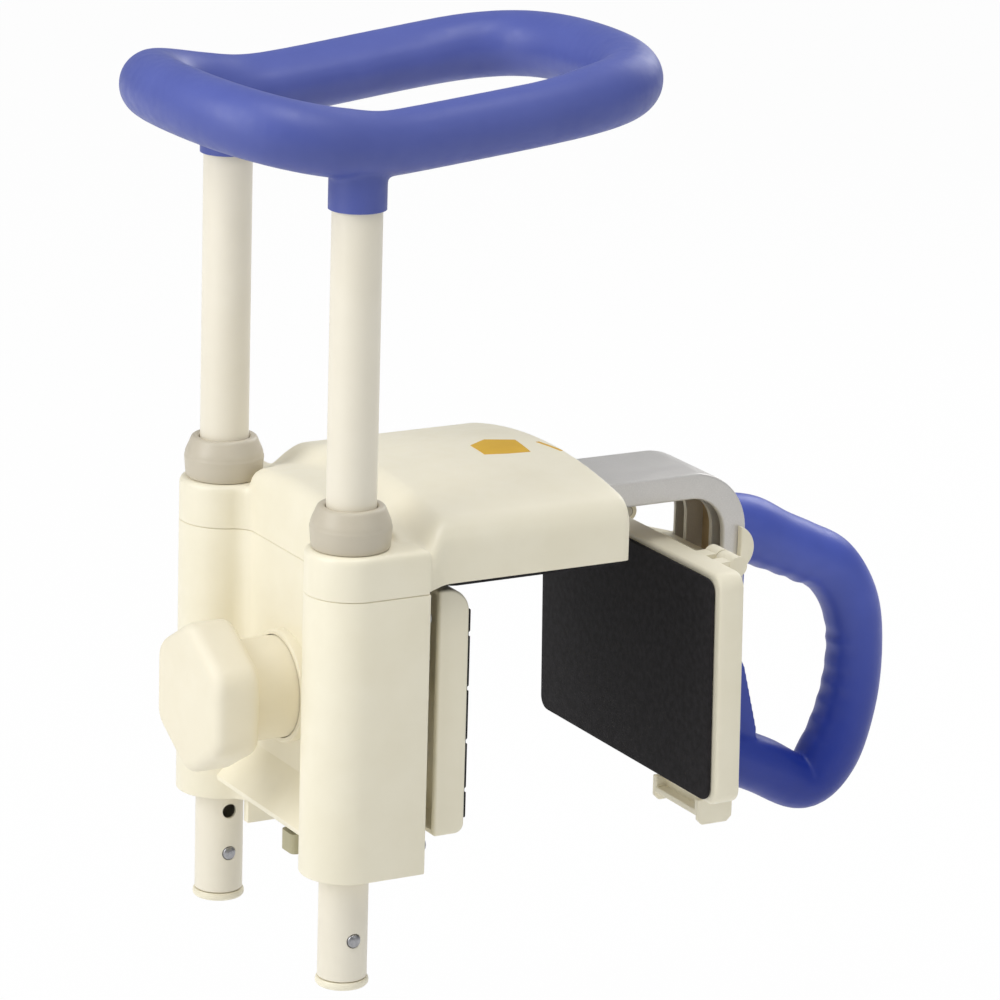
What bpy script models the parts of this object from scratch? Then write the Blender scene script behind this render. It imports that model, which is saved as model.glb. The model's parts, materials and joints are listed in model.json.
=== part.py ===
"""Bathtub grab bar that clamps over the rim of a tub.

World axes: X runs across the tub wall from the outside into the tub, Y runs along the rim and
Z is up. The origin is the middle of the face that rests on the rim. All sizes are in metres.
"Front" names the side at -Y and "back" the side at +Y.
"""
import math

import bmesh
import bpy
from mathutils import Matrix, Vector

# Clearances
TOUCH_GAP = 0.0003
BUSH_CLEARANCE = 0.00025
SPINDLE_CLEARANCE = 0.0003

# Posts
POST_X = -0.110
POST_HALF_SPACING = 0.072
POST_RADIUS = 0.0127
POST_WALL = 0.0016
POST_TAIL = 0.0563
HOLE_RADIUS = 0.004
HOLE_PITCH = 0.0235
HOLE_COUNT = 6
HOLES_BELOW_LOCK = 1
LOCK_HEIGHT = 0.0128
CAP_DEPTH = 0.0043
CAP_RADIUS = 0.0137
CAP_PLUG_LENGTH = 0.010
BUTTON_HEIGHT = 0.0221
BUTTON_RADIUS = 0.0036
BUTTON_DOME = 0.0014
BUTTON_DOME_STEPS = ((0.8, 0.7), (0.4, 1.0))
BUTTON_FLANGE_RADIUS = 0.0052
BUTTON_TRAVEL = 0.0025

# Top grip: plan of the tube's middle line, from the post axis, and its rise to both ends
GRIP_RADIUS = 0.01723
GRIP_SKIN = 0.0042
GRIP_REACH_OUT = 0.0610
GRIP_REACH_IN = 0.1746
GRIP_HALF_WIDTH = 0.07364
GRIP_WIDEST_X = 0.0293
GRIP_OUTER_END_PULL = 0.0934
GRIP_OUTER_SIDE_PULL = 0.0418
GRIP_INNER_SIDE_PULL = 0.0919
GRIP_INNER_END_PULL = 0.0910
GRIP_Z = 0.22495
GRIP_RISE_IN = math.tan(math.radians(6.39))
GRIP_RISE_OUT = math.tan(math.radians(13.28))
GRIP_RISE_BLEND = 0.0106
SLEEVE_RADIUS = 0.01465
SLEEVE_BOTTOM_Z = 0.1948
CORE_HOLE_RADIUS = 0.008

# Housing: two columns and the web between them, placed from the post axis; heights that are
# called HEIGHT or DROP below are measured from its foot
COLUMN_RADIUS = 0.0232
WEB_FACE = 0.002
WEB_FILLET = 0.011
HOUSING_DEPTH = 0.034
HOUSING_HEIGHT = 0.148
HOUSING_WALL = 0.003
TUBE_WALL = 0.003
SCOOP_SLOPE = ((0.0015, 0.0378), (-0.0030, 0.0295), (-0.0085, 0.0205), (-0.0135, 0.0135))
SCOOP_STEPS = 4
SCOOP_LIP_THICKNESS = 0.0025
SCOOP_FOOT_HEIGHT = 0.001
SCOOP_END_DEPTH = 0.0042
RIB_Y = 0.0405
RIB_THICKNESS = 0.0035
RIB_FOOT_HEIGHT = 0.020
LEDGE_Z = 0.003
UNDER_RIB_Y = 0.044
UNDER_RIB_THICKNESS = 0.005
UNDER_RIB_DEPTH = 0.013
UNDER_RIB_LENGTH = 0.019
REAR_PLATE_THICKNESS = 0.0027
REAR_SCREW_Y = 0.088
REAR_BOSS_RADIUS = 0.005

# Bushes and collets round the posts, and the lock rings
BUSH_WALL = 0.00165
BUSH_LENGTH = 0.040
COLLET_TAIL = 0.035
COLLET_SEAT = 0.008
COLLET_FLANGE_RADIUS = 0.0199
COLLET_NECK_RADIUS = 0.0156
COLLET_NECK_TOP_Z = 0.036
COLLET_NOSE_TOP_Z = 0.041
COLLET_NOSE_RADIUS = 0.0140
RING_RADIUS = 0.0208
RING_TOP_RADIUS = 0.0165
RING_WALL_TOP_Z = 0.036
RING_TOP_Z = 0.0444

# Top cover
COVER_WALL = 0.0025
COVER_REACH = 0.1536
COVER_CROWN = 0.0430
COVER_FRONT_CROWN = 0.0365
COVER_STEP_START = 0.033
COVER_STEP_END = 0.047
COVER_HALF_WIDTH = 0.087
COVER_SIDE_STEP = 0.0004
COVER_ARCH_RADIUS = 0.335
COVER_FRONT_ARCH_RADIUS = 0.225
COVER_CORNER_RADIUS = 0.014
COVER_FRONT_ROUND = 0.009
COVER_END_ROUND = 0.003
COVER_EDGE_Z = 0.0015
SHOULDER_Z = 0.0228
SHOULDER_ROUND = 0.003

# Frame over the rim
PAD_RUBBER_THICKNESS = 0.003
RIM_PAD_HALF_LENGTH = 0.034
RIM_PAD_HALF_WIDTH = 0.075
RIM_PAD_EDGE_X = (0.047, 0.151)
RIM_PAD_EDGE_HALF_WIDTH = 0.0867
PLATE_THICKNESS = 0.003
PLATE_START = 0.006
PLATE_WIDE_START = 0.060
PLATE_END = 0.147
PLATE_NARROW_HALF = 0.047
PLATE_WIDE_HALF = 0.082
FRAME_SCREW_X = 0.018
FRAME_SCREW_ROOM = 0.0018
COVER_SCREW_AT = (0.128, 0.068)
SETTING_BOLT_SPREAD = 0.013
SHOE_HALF_LENGTH = 0.0247
SHOE_HALF_WIDTH = 0.0117
GUIDE_WALL = 0.0024
GUIDE_START = 0.008
GUIDE_END = 0.148

# Slide arm
ARM_WIDTH = 0.052
ARM_THICKNESS = 0.014
ARM_SKIN = 0.004
ARM_RIB = 0.003
ARM_MIDDLE_SLOT = 0.023
ARM_INNER_END = 0.095
ARM_BEND_X = 0.2265
ARM_BEND_RADIUS = 0.034
ARM_BOTTOM_Z = -0.1603
ARM_PLUG_LENGTH = 0.005
LEG_CAP_HEIGHT = 0.0144
LEG_CAP_DEPTH = 0.0215
LEG_CAP_WIDTH = 0.048
LEG_CAP_EAR = 0.0025
LEG_CAP_EAR_HEIGHT = 0.005
LEG_CAP_POCKET = (0.006, 0.020, 0.006)

# Bracket and hinge of the inner pad
HINGE_X = 0.229
HINGE_Z = -0.016
HINGE_PIN_RADIUS = 0.003
HINGE_PIN_SPAN = (0.0441, 0.068)
KNUCKLE_RADIUS = 0.0055
BRACKET_HALF_WIDTH = 0.030
BRACKET_OUTER_WALL = 0.003
BRACKET_TOP_Z = -0.007
BRACKET_BOTTOM_Z = -0.033
BRACKET_EAR_ANGLE = 69
YOKE_X = (0.223, 0.235, 0.2495)
YOKE_ROOT_HALF_WIDTH = 0.033
YOKE_THICKNESS = 0.006
YOKE_KNUCKLE_SPAN = (0.0553, 0.0607)
KNUCKLE_SPANS = ((0.044, 0.055), (0.061, 0.070))

# Inner pad
INNER_PAD_TILT = math.radians(1.1)
INNER_FACE_OFFSET = 0.0273
INNER_RUBBER_THICKNESS = 0.0025
INNER_RUBBER_HALF_WIDTH = 0.0885
INNER_RUBBER_TOP_Z = -0.0150
INNER_RUBBER_BOTTOM_Z = -0.1358
INNER_FRAME_DEPTH = 0.0147
INNER_FRAME_HALF_WIDTH = 0.093
INNER_FRAME_TOP_Z = -0.012
INNER_FRAME_BOTTOM_Z = -0.138
INNER_CORNER_RADIUS = 0.008
INNER_FRAME_WALL = 0.003

# Clamp: spindle, guide rods, outer pad and knob
CLAMP_Z = -0.071
SPINDLE_RADIUS = 0.0077
SPINDLE_NOSE_RADIUS = 0.0060
ROD_RADIUS = 0.004
ROD_HALF_SPACING = 0.036
ROD_CLEARANCE = 0.00015
HOLDER_BACK = 0.047
HOLDER_DEPTH = 0.0175
HOLDER_HALF_WIDTH = 0.080
HOLDER_TOP_Z = -0.004
HOLDER_BOTTOM_Z = -0.135
HOLDER_ROUND = 0.013
HOLDER_FOOT_ROUND = 0.005
HOLDER_WALL = 0.003
OUTER_RUBBER_THICKNESS = 0.0027
OUTER_RUBBER_MARGIN = 0.004
OUTER_RUBBER_FOOT_MARGIN = 0.0065
GROOVE_ZS = (-0.030, -0.059, -0.0873, -0.1134)
GROOVE_WIDTH = 0.003
GROOVE_DEPTH = 0.0012
WASHER_RADIUS = 0.011
WASHER_THICKNESS = 0.0021
CLAMP_BOSS_RADIUS = 0.012
NUT_RADIUS = 0.0109
NUT_FLANGE_RADIUS = 0.015
KNOB_FRONT = -0.0555
KNOB_BACK = -0.030
KNOB_CORNER_REACH = 0.0395
KNOB_CORNER_RADIUS = 0.013
KNOB_FACE_ROUND = 0.006
KNOB_FACE_WALL = 0.0067
KNOB_BACK_CHAMFER = (0.0027, 0.0036)
NECK_RADIUS = 0.0265
NECK_END = 0.001
NECK_WALL = 0.003
HUB_RADIUS = 0.011
BEZEL_WIDTH = 0.0025
BEZEL_HEIGHT = 0.0055

# Height lock: two sliders, drawn in by the plunger
LOCK_DRAW = 0.003
PLUNGER_TRAVEL = 0.006
NOSE_RADIUS = 0.0036
SLIDER_HALF_HEIGHT = 0.0036
SLIDER_PLATE = 0.0021
SLIDER_BAR_X = (0.017, 0.024)
SLIDER_INNER_END = 0.014
PEG_RADIUS = 0.0022
PEG_Y = 0.017
PEG_LIFT = 0.001
CAM_X = (0.0115, 0.016)
CAM_HALF_WIDTH = 0.0225
CAM_LIFT = 0.0082
PLUNGER_X = (0.0036, 0.016)
PLUNGER_HALF_WIDTH = 0.007
PLUNGER_DROP = 0.014
PLUNGER_FLANGE_HALF = 0.011
SPRING_RADIUS = 0.003
SPRING_WALL = 0.001
SPRING_HALF_LENGTH = 0.0104

# Side handle: middle line of its tube as (distance from the post axis, height, radius)
HANDLE_ROUTE = (
    (0.2600, -0.0130, 0.0160),
    (0.2770, -0.0190, 0.0183),
    (0.2953, -0.0279, 0.0172),
    (0.3131, -0.0362, 0.0169),
    (0.3315, -0.0463, 0.0165),
    (0.3452, -0.0671, 0.0160),
    (0.3496, -0.0925, 0.0158),
    (0.3470, -0.1237, 0.0164),
    (0.3361, -0.1539, 0.0171),
    (0.3194, -0.1683, 0.0152),
    (0.2908, -0.1545, 0.0156),
    (0.2600, -0.1405, 0.0155),
)
HANDLE_CORE_RADIUS = 0.0077
HANDLE_BAR_DEPTH = 0.0085
HANDLE_BAR_HALF_WIDTH = 0.010
HANDLE_BAR_TOP_Z = -0.005
HANDLE_BAR_BOTTOM_Z = -0.158
HANDLE_GUSSET = ((0.268, -0.080), (0.2753, -0.095), (0.2843, -0.131), (0.2833, -0.148), (0.268, -0.146))
HANDLE_GUSSET_HALF_WIDTH = 0.0085
HANDLE_PLATE_THICKNESS = 0.003
HANDLE_PLATE_MARGIN = 0.004
HANDLE_BOLT_ZS = (-0.060, -0.115)

# Fasteners
FRAME_SCREW_RADIUS = 0.0023
FRAME_SCREW_HEAD = (0.0045, 0.003)
SMALL_SCREW_RADIUS = 0.0015
SMALL_SCREW_HEAD = (0.0036, 0.002)
SETTING_BOLT_RADIUS = 0.003
SETTING_BOLT_HEAD = (0.006, 0.0023)
HANDLE_BOLT_RADIUS = 0.003
HANDLE_BOLT_HEAD = (0.0055, 0.004)
SCREW_CLEARANCE = 0.0003

# Lesser sizes of the housing, the cover and what they carry
COLUMN_SOLID_X = 0.004
COLUMN_SOLID_Y = 0.051
FRAME_BOSS_RADIUS = 0.006
FRAME_BOSS_DEPTH = 0.025
FRAME_SCREW_DEPTH = 0.017
REAR_BOSS_START = 0.014
REAR_SCREW_LENGTH = 0.016
REAR_SCREW_INSET = 0.014
REAR_BOSSES_START = 0.022
NUT_BOSS_RADIUS = 0.015
NUT_FLANGE_THICKNESS = 0.003
ROD_BOSS_RADIUS = 0.009
ROD_BUSH_RADIUS = 0.006
ROD_BUSH_FLANGE_RADIUS = 0.008
ROD_BUSH_FLANGE_THICKNESS = 0.0012
ROD_START = 0.008
SLIDER_REST_Y = (0.028, 0.040)
SLIDER_ROOM = 0.0008
LOCK_WINDOW_LENGTH = 0.012
CRADLE_LIFT = 0.002
FLOOR_BREAK = 0.0001
NECK_CLEARANCE = 0.0005
RING_NOSE_ROOM = 0.0004
WINDOW_ROOM = 0.0006
WINDOW_DROP = 0.0018
COVER_BOSS_RADIUS = 0.0055
COVER_SCREW_TOP_Z = 0.022
COVER_HOLE_ROOM = 0.0004
PLATE_CHAMFER = 0.008
RIM_PAD_CORNER = 0.006
HEAD_ROOM = 0.0008
HOLDER_BOSS_X = 0.0493
NOSE_SOCKET = 0.0085
ROD_SOCKET = 0.0105
LEG_CAP_CHAMFER = 0.003
PLUNGER_CORNER = 0.003
PLUNGER_FLANGE_X = 0.0085
PLUNGER_FLANGE_THICKNESS = 0.002
BUTTON_FLANGE_THICKNESS = 0.0018
LEAF_HALF_WIDTH = 0.004
LEAF_THICKNESS = 0.0006
HANDLE_BAR_CORNER = 0.004
LUG_STEP = 0.0004
BUTT_STEP = 0.001
CUT_MARGIN = 0.002

# Worked out from the sizes above
SIDES = (-1, 1)
SIDE_NAMES = ("front", "back")
FLOOR_Z = HOUSING_WALL - HOUSING_HEIGHT
POST_BOTTOM_Z = -HOUSING_HEIGHT - POST_TAIL
BUTTON_Z = POST_BOTTOM_Z + BUTTON_HEIGHT
LOCK_Z = LOCK_HEIGHT - HOUSING_HEIGHT
PEG_Z = LOCK_Z + PEG_LIFT
CAM_TOP_Z = LOCK_Z + CAM_LIFT
PLUNGER_BOTTOM_Z = -HOUSING_HEIGHT - PLUNGER_DROP
RIB_BOTTOM_Z = RIB_FOOT_HEIGHT - HOUSING_HEIGHT
REAR_SCREW_ZS = (-REAR_SCREW_INSET, REAR_SCREW_INSET - HOUSING_HEIGHT)
COVER_FRONT_HALF_WIDTH = POST_HALF_SPACING + COLUMN_RADIUS - COVER_SIDE_STEP
REAR_X = POST_X + HOUSING_DEPTH
BUSH_INNER = POST_RADIUS + BUSH_CLEARANCE
BUSH_OUTER = BUSH_INNER + BUSH_WALL
TUBE_BORE = BUSH_OUTER + TOUCH_GAP
TUBE_OUTER = TUBE_BORE + TUBE_WALL
PLATE_Z = PAD_RUBBER_THICKNESS + TOUCH_GAP
PLATE_TOP_Z = PLATE_Z + PLATE_THICKNESS
GUIDE_Z = PLATE_TOP_Z + TOUCH_GAP
ARM_Z = GUIDE_Z + GUIDE_WALL + TOUCH_GAP
GUIDE_HALF_WIDTH = ARM_WIDTH / 2 + TOUCH_GAP + GUIDE_WALL
FRAME_SCREW_AT = (FRAME_SCREW_X, GUIDE_HALF_WIDTH + FRAME_SCREW_ROOM + FRAME_SCREW_HEAD[0])
ARM_TOP_Z = ARM_Z + ARM_THICKNESS
ARM_LEG_X = POST_X + ARM_BEND_X + ARM_BEND_RADIUS
POST_INNER_Y = POST_HALF_SPACING - POST_RADIUS
POST_TOP_Z = GRIP_Z - GRIP_RADIUS + GRIP_SKIN
POST_REACH = POST_RADIUS + CUT_MARGIN
SLIDER_OUTER_Y = POST_HALF_SPACING - BUSH_OUTER - TOUCH_GAP

# Facets round a full turn
LARGE_SIDES = 24
MIDDLE_SIDES = 20
SMALL_SIDES = 16
HOLE_SIDES = 12
LOOP_STEPS = 7
HANDLE_STEPS = 3
ARC_STEPS = 6

# Finishes: colour as the eye sees it (0 to 255), roughness, metallic
FINISHES = {
    "cream_plastic": ((241, 233, 214), 0.42, 0.0),
    "collar_plastic": ((226, 217, 202), 0.45, 0.0),
    "cream_paint": ((232, 225, 206), 0.38, 0.0),
    "blue_grip": ((96, 106, 172), 0.50, 0.0),
    "blue_handle": ((45, 66, 145), 0.48, 0.0),
    "silver_paint": ((184, 180, 178), 0.40, 0.6),
    "steel": ((170, 170, 172), 0.35, 1.0),
    "nylon": ((214, 210, 198), 0.50, 0.0),
    "black_rubber": ((41, 39, 40), 0.85, 0.0),
}


def linear_colour(colour):
    """Return an eye-level colour as the linear values that a shader takes."""
    values = []
    for part in colour:
        share = part / 255
        values.append(share / 12.92 if share <= 0.04045 else ((share + 0.055) / 1.055) ** 2.4)
    return (*values, 1.0)


def make_material(name, finish):
    colour, roughness, metallic = FINISHES[finish]
    material = bpy.data.materials.new(name)
    material.use_nodes = True
    shader = material.node_tree.nodes["Principled BSDF"]
    shader.inputs["Base Color"].default_value = linear_colour(colour)
    shader.inputs["Roughness"].default_value = roughness
    shader.inputs["Metallic"].default_value = metallic
    material.diffuse_color = linear_colour(colour)
    return material


def clear_scene():
    for item in list(bpy.data.objects):
        bpy.data.objects.remove(item, do_unlink=True)


def at(distance):
    """World X of a place given by its distance from the post axis."""
    return POST_X + distance


def closed(shape):
    """Merge doubled points and turn every face outwards."""
    bmesh.ops.remove_doubles(shape, verts=shape.verts, dist=1e-6)
    bmesh.ops.dissolve_degenerate(shape, dist=1e-7, edges=shape.edges)
    bmesh.ops.recalc_face_normals(shape, faces=shape.faces)
    return shape


def block(x_span, y_span, z_span):
    """Make a box from its three spans."""
    shape = bmesh.new()
    bmesh.ops.create_cube(shape, size=1.0)
    spans = (sorted(x_span), sorted(y_span), sorted(z_span))
    size = Vector([high - low for low, high in spans])
    middle = Vector([(high + low) / 2 for low, high in spans])
    bmesh.ops.scale(shape, vec=size, verts=shape.verts)
    bmesh.ops.translate(shape, vec=middle, verts=shape.verts)
    return shape


def along(start, end):
    """Matrix that carries the Z axis to the line from start to end."""
    direction = Vector(end) - Vector(start)
    turn = direction.to_track_quat("Z", "Y").to_matrix().to_4x4()
    return Matrix.Translation(Vector(start)) @ turn


def rod(start, end, radius, sides=MIDDLE_SIDES):
    """Make a solid round bar between two points."""
    length = (Vector(end) - Vector(start)).length
    shape = bmesh.new()
    bmesh.ops.create_cone(shape, cap_ends=True, segments=sides, radius1=radius, radius2=radius, depth=length)
    bmesh.ops.translate(shape, vec=(0, 0, length / 2), verts=shape.verts)
    bmesh.ops.transform(shape, matrix=along(start, end), verts=shape.verts)
    return shape


def turned(profile, start, end, sides=MIDDLE_SIDES):
    """Spin (radius, height) points round the line from start towards end."""
    shape = bmesh.new()
    corners = [shape.verts.new((radius, 0, height)) for radius, height in profile]
    rim = [
        shape.edges.new((corners[i - 1], corners[i]))
        for i in range(len(corners))
        if profile[i - 1][0] + profile[i][0] > 0
    ]
    bmesh.ops.spin(shape, geom=corners + rim, axis=(0, 0, 1), cent=(0, 0, 0), angle=math.tau,
                   steps=sides, use_merge=True, use_duplicate=False)
    bmesh.ops.transform(shape, matrix=along(start, end), verts=shape.verts)
    return closed(shape)


def prism(outline, plane, span):
    """Extrude a flat outline of points in the XY, XZ or YZ plane over a span of the third axis."""
    shape = bmesh.new()
    low, high = sorted(span)
    place = {"XY": lambda a, b: (a, b, low), "XZ": lambda a, b: (a, low, b), "YZ": lambda a, b: (low, a, b)}
    step = {"XY": (0, 0, high - low), "XZ": (0, high - low, 0), "YZ": (high - low, 0, 0)}
    face = shape.faces.new([shape.verts.new(place[plane](a, b)) for a, b in outline])
    grown = bmesh.ops.extrude_face_region(shape, geom=[face])["geom"]
    moved = [item for item in grown if isinstance(item, bmesh.types.BMVert)]
    bmesh.ops.translate(shape, vec=step[plane], verts=moved)
    return closed(shape)


def lofted(sections):
    """Join loops of points that have as many points each, and close both ends."""
    shape = bmesh.new()
    rings = [[shape.verts.new(point) for point in section] for section in sections]
    for before, after in zip(rings, rings[1:]):
        for i in range(len(before)):
            shape.faces.new((before[i - 1], before[i], after[i], after[i - 1]))
    shape.faces.new(rings[0])
    shape.faces.new(rings[-1])
    return closed(shape)


def swept(points, radii, cyclic=False):
    """Run a round tube along a line of points, with its own radius at each."""
    curve = bpy.data.curves.new("route", "CURVE")
    curve.dimensions = "3D"
    curve.twist_mode = "Z_UP" if cyclic else "MINIMUM"
    curve.bevel_depth = 1.0
    curve.bevel_resolution = 4
    curve.use_fill_caps = True
    spline = curve.splines.new("POLY")
    spline.points.add(len(points) - 1)
    for knot, point, radius in zip(spline.points, points, radii):
        knot.co = (*point, 1.0)
        knot.radius = radius
    spline.use_cyclic_u = cyclic
    route = bpy.data.objects.new("route", curve)
    bpy.context.scene.collection.objects.link(route)
    shape = evaluated(route)
    bpy.data.objects.remove(route)
    bpy.data.curves.remove(curve)
    return closed(shape)


def evaluated(item):
    """Read an object's mesh as the viewport shows it."""
    graph = bpy.context.evaluated_depsgraph_get()
    mesh = bpy.data.meshes.new_from_object(item.evaluated_get(graph))
    shape = bmesh.new()
    shape.from_mesh(mesh)
    bpy.data.meshes.remove(mesh)
    return shape


def helper(shape):
    """Put a shape into the scene for a Boolean."""
    mesh = bpy.data.meshes.new("helper")
    shape.to_mesh(mesh)
    shape.free()
    item = bpy.data.objects.new("helper", mesh)
    bpy.context.scene.collection.objects.link(item)
    return item


def combined(shape, others, operation):
    base = helper(shape)
    tools = [helper(other) for other in others]
    for tool in tools:
        step = base.modifiers.new("step", "BOOLEAN")
        step.operation = operation
        step.solver = "EXACT"
        step.object = tool
    result = evaluated(base)
    for item in [base, *tools]:
        mesh = item.data
        bpy.data.objects.remove(item)
        bpy.data.meshes.remove(mesh)
    return closed(result)


def cut(shape, *tools):
    return combined(shape, tools, "DIFFERENCE")


def fused(shape, *others):
    return combined(shape, others, "UNION")


def mirrored(shape):
    """Copy a front piece to the back, over the plane Y = 0."""
    bmesh.ops.scale(shape, vec=(1, -1, 1), verts=shape.verts)
    return closed(shape)


def arc(middle, radius, first, last, steps=ARC_STEPS):
    """Points on an arc, with its angles in degrees."""
    angles = [math.radians(first + (last - first) * i / steps) for i in range(steps + 1)]
    return [(middle[0] + radius * math.cos(a), middle[1] + radius * math.sin(a)) for a in angles]


def round_rectangle(low, high, radius, steps=3):
    """Outline of a rectangle with round corners, from its low and high corner."""
    points = []
    for index, (a, b) in enumerate(((1, 1), (0, 1), (0, 0), (1, 0))):
        middle_a = high[0] - radius if a else low[0] + radius
        middle_b = high[1] - radius if b else low[1] + radius
        points += arc((middle_a, middle_b), radius, 90 * index, 90 * index + 90, steps)
    return points


def smooth_step(value, start, end):
    share = min(max((value - start) / (end - start), 0.0), 1.0)
    return share * share * (3 - 2 * share)


class Assembly:
    """Bodies as empties on their joint axes, and the pieces that ride on them."""

    def __init__(self):
        self.pivots = {}
        self.empties = {}

    def body(self, name, pivot, carried_by=None):
        empty = bpy.data.objects.new(name, None)
        bpy.context.scene.collection.objects.link(empty)
        base = self.pivots[carried_by] if carried_by else Vector((0, 0, 0))
        if carried_by:
            empty.parent = self.empties[carried_by]
        empty.location = Vector(pivot) - base
        self.pivots[name] = Vector(pivot)
        self.empties[name] = empty

    def piece(self, name, shape, finish, body, crease=35):
        bmesh.ops.translate(shape, vec=-self.pivots[body], verts=shape.verts)
        mesh = bpy.data.meshes.new(name)
        shape.to_mesh(mesh)
        shape.free()
        mesh.shade_smooth()
        mesh.set_sharp_from_angle(angle=math.radians(crease))
        mesh.materials.append(make_material(name + "_finish", finish))
        item = bpy.data.objects.new(name, mesh)
        bpy.context.scene.collection.objects.link(item)
        item.parent = self.empties[body]
        return item


# Housing and what closes it

def housing_outline(inset, rear):
    """Plan of the housing, drawn in by an inset; rear is the X of its straight back."""
    hollow_x = at(WEB_FACE - WEB_FILLET)
    reach = COLUMN_RADIUS + WEB_FILLET
    side_step = math.sqrt(reach ** 2 - (POST_X - hollow_x) ** 2)
    meeting = math.degrees(math.atan2(side_step, hollow_x - POST_X))
    column = arc((POST_X, -POST_HALF_SPACING), COLUMN_RADIUS - inset, 270, meeting, 9)
    fillet = arc((hollow_x, side_step - POST_HALF_SPACING), WEB_FILLET + inset, meeting - 180, 0, 3)
    half = [(rear, -POST_HALF_SPACING - COLUMN_RADIUS + inset)] + column + fillet
    return half + [(x, -y) for x, y in reversed(half)]


def scoop():
    """Ledge between the columns, which slopes down and out from the web to its lip."""
    knots = [(at(WEB_FACE + x), height - HOUSING_HEIGHT) for x, height in SCOOP_SLOPE]
    lip_x, lip_z = knots[-1]
    outline = bezier(*knots, SCOOP_STEPS) + [
        (lip_x, lip_z),
        (lip_x, lip_z - SCOOP_LIP_THICKNESS),
        (knots[0][0], SCOOP_FOOT_HEIGHT - HOUSING_HEIGHT),
    ]
    half = POST_HALF_SPACING - COLUMN_RADIUS + SCOOP_END_DEPTH
    return prism(outline, "XZ", (-half, half))


def housing_hollow():
    """Space inside the housing: open at the top and the back, closed round the post tubes."""
    hollow = prism(housing_outline(HOUSING_WALL, REAR_X + HOUSING_WALL), "XY", (FLOOR_Z, CUT_MARGIN))
    kept = []
    for side in SIDES:
        kept.append(block(
            (at(-COLUMN_RADIUS), at(COLUMN_SOLID_X)),
            (side * COLUMN_SOLID_Y, side * (POST_HALF_SPACING + COLUMN_RADIUS)),
            (-HOUSING_HEIGHT, -COLLET_SEAT),
        ))
        kept.append(upright(side, -HOUSING_HEIGHT, -COLLET_SEAT, TUBE_OUTER))
    return cut(hollow, *kept)


def housing_fittings():
    """Ribs, bosses and rests that stand in or under the housing."""
    rib_end = REAR_X - REAR_PLATE_THICKNESS - TOUCH_GAP
    rest_top = LOCK_Z - SLIDER_HALF_HEIGHT - TOUCH_GAP
    bezel = NECK_RADIUS + NECK_CLEARANCE + BEZEL_WIDTH
    bezel_end = clamp_point(WEB_FACE + HOUSING_WALL / 2)
    pieces = [rod(clamp_point(WEB_FACE - BEZEL_HEIGHT), bezel_end, bezel, LARGE_SIDES)]
    for side in SIDES:
        pieces.append(block(
            (at(WEB_FACE + HOUSING_WALL / 2), rib_end),
            (side * RIB_Y, side * (RIB_Y + RIB_THICKNESS)),
            (RIB_BOTTOM_Z, LEDGE_Z),
        ))
        pieces.append(block(
            (at(WEB_FACE + BUTT_STEP), at(WEB_FACE + BUTT_STEP + UNDER_RIB_LENGTH)),
            (side * UNDER_RIB_Y, side * (UNDER_RIB_Y + UNDER_RIB_THICKNESS)),
            (-HOUSING_HEIGHT - UNDER_RIB_DEPTH, FLOOR_Z - BUTT_STEP),
        ))
        pieces.append(block(
            (at(SLIDER_BAR_X[0]), at(SLIDER_BAR_X[1])),
            (side * SLIDER_REST_Y[0], side * SLIDER_REST_Y[1]),
            (FLOOR_Z - BUTT_STEP, rest_top),
        ))
        screw_x, screw_y = FRAME_SCREW_AT
        pieces.append(rod(
            (at(screw_x), side * screw_y, LEDGE_Z - FRAME_BOSS_DEPTH),
            (at(screw_x), side * screw_y, LEDGE_Z),
            FRAME_BOSS_RADIUS,
        ))
        for height in REAR_SCREW_ZS:
            pieces.append(rod(
                (at(REAR_BOSS_START), side * REAR_SCREW_Y, height),
                (rib_end, side * REAR_SCREW_Y, height),
                REAR_BOSS_RADIUS,
                SMALL_SIDES,
            ))
    return pieces


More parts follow.
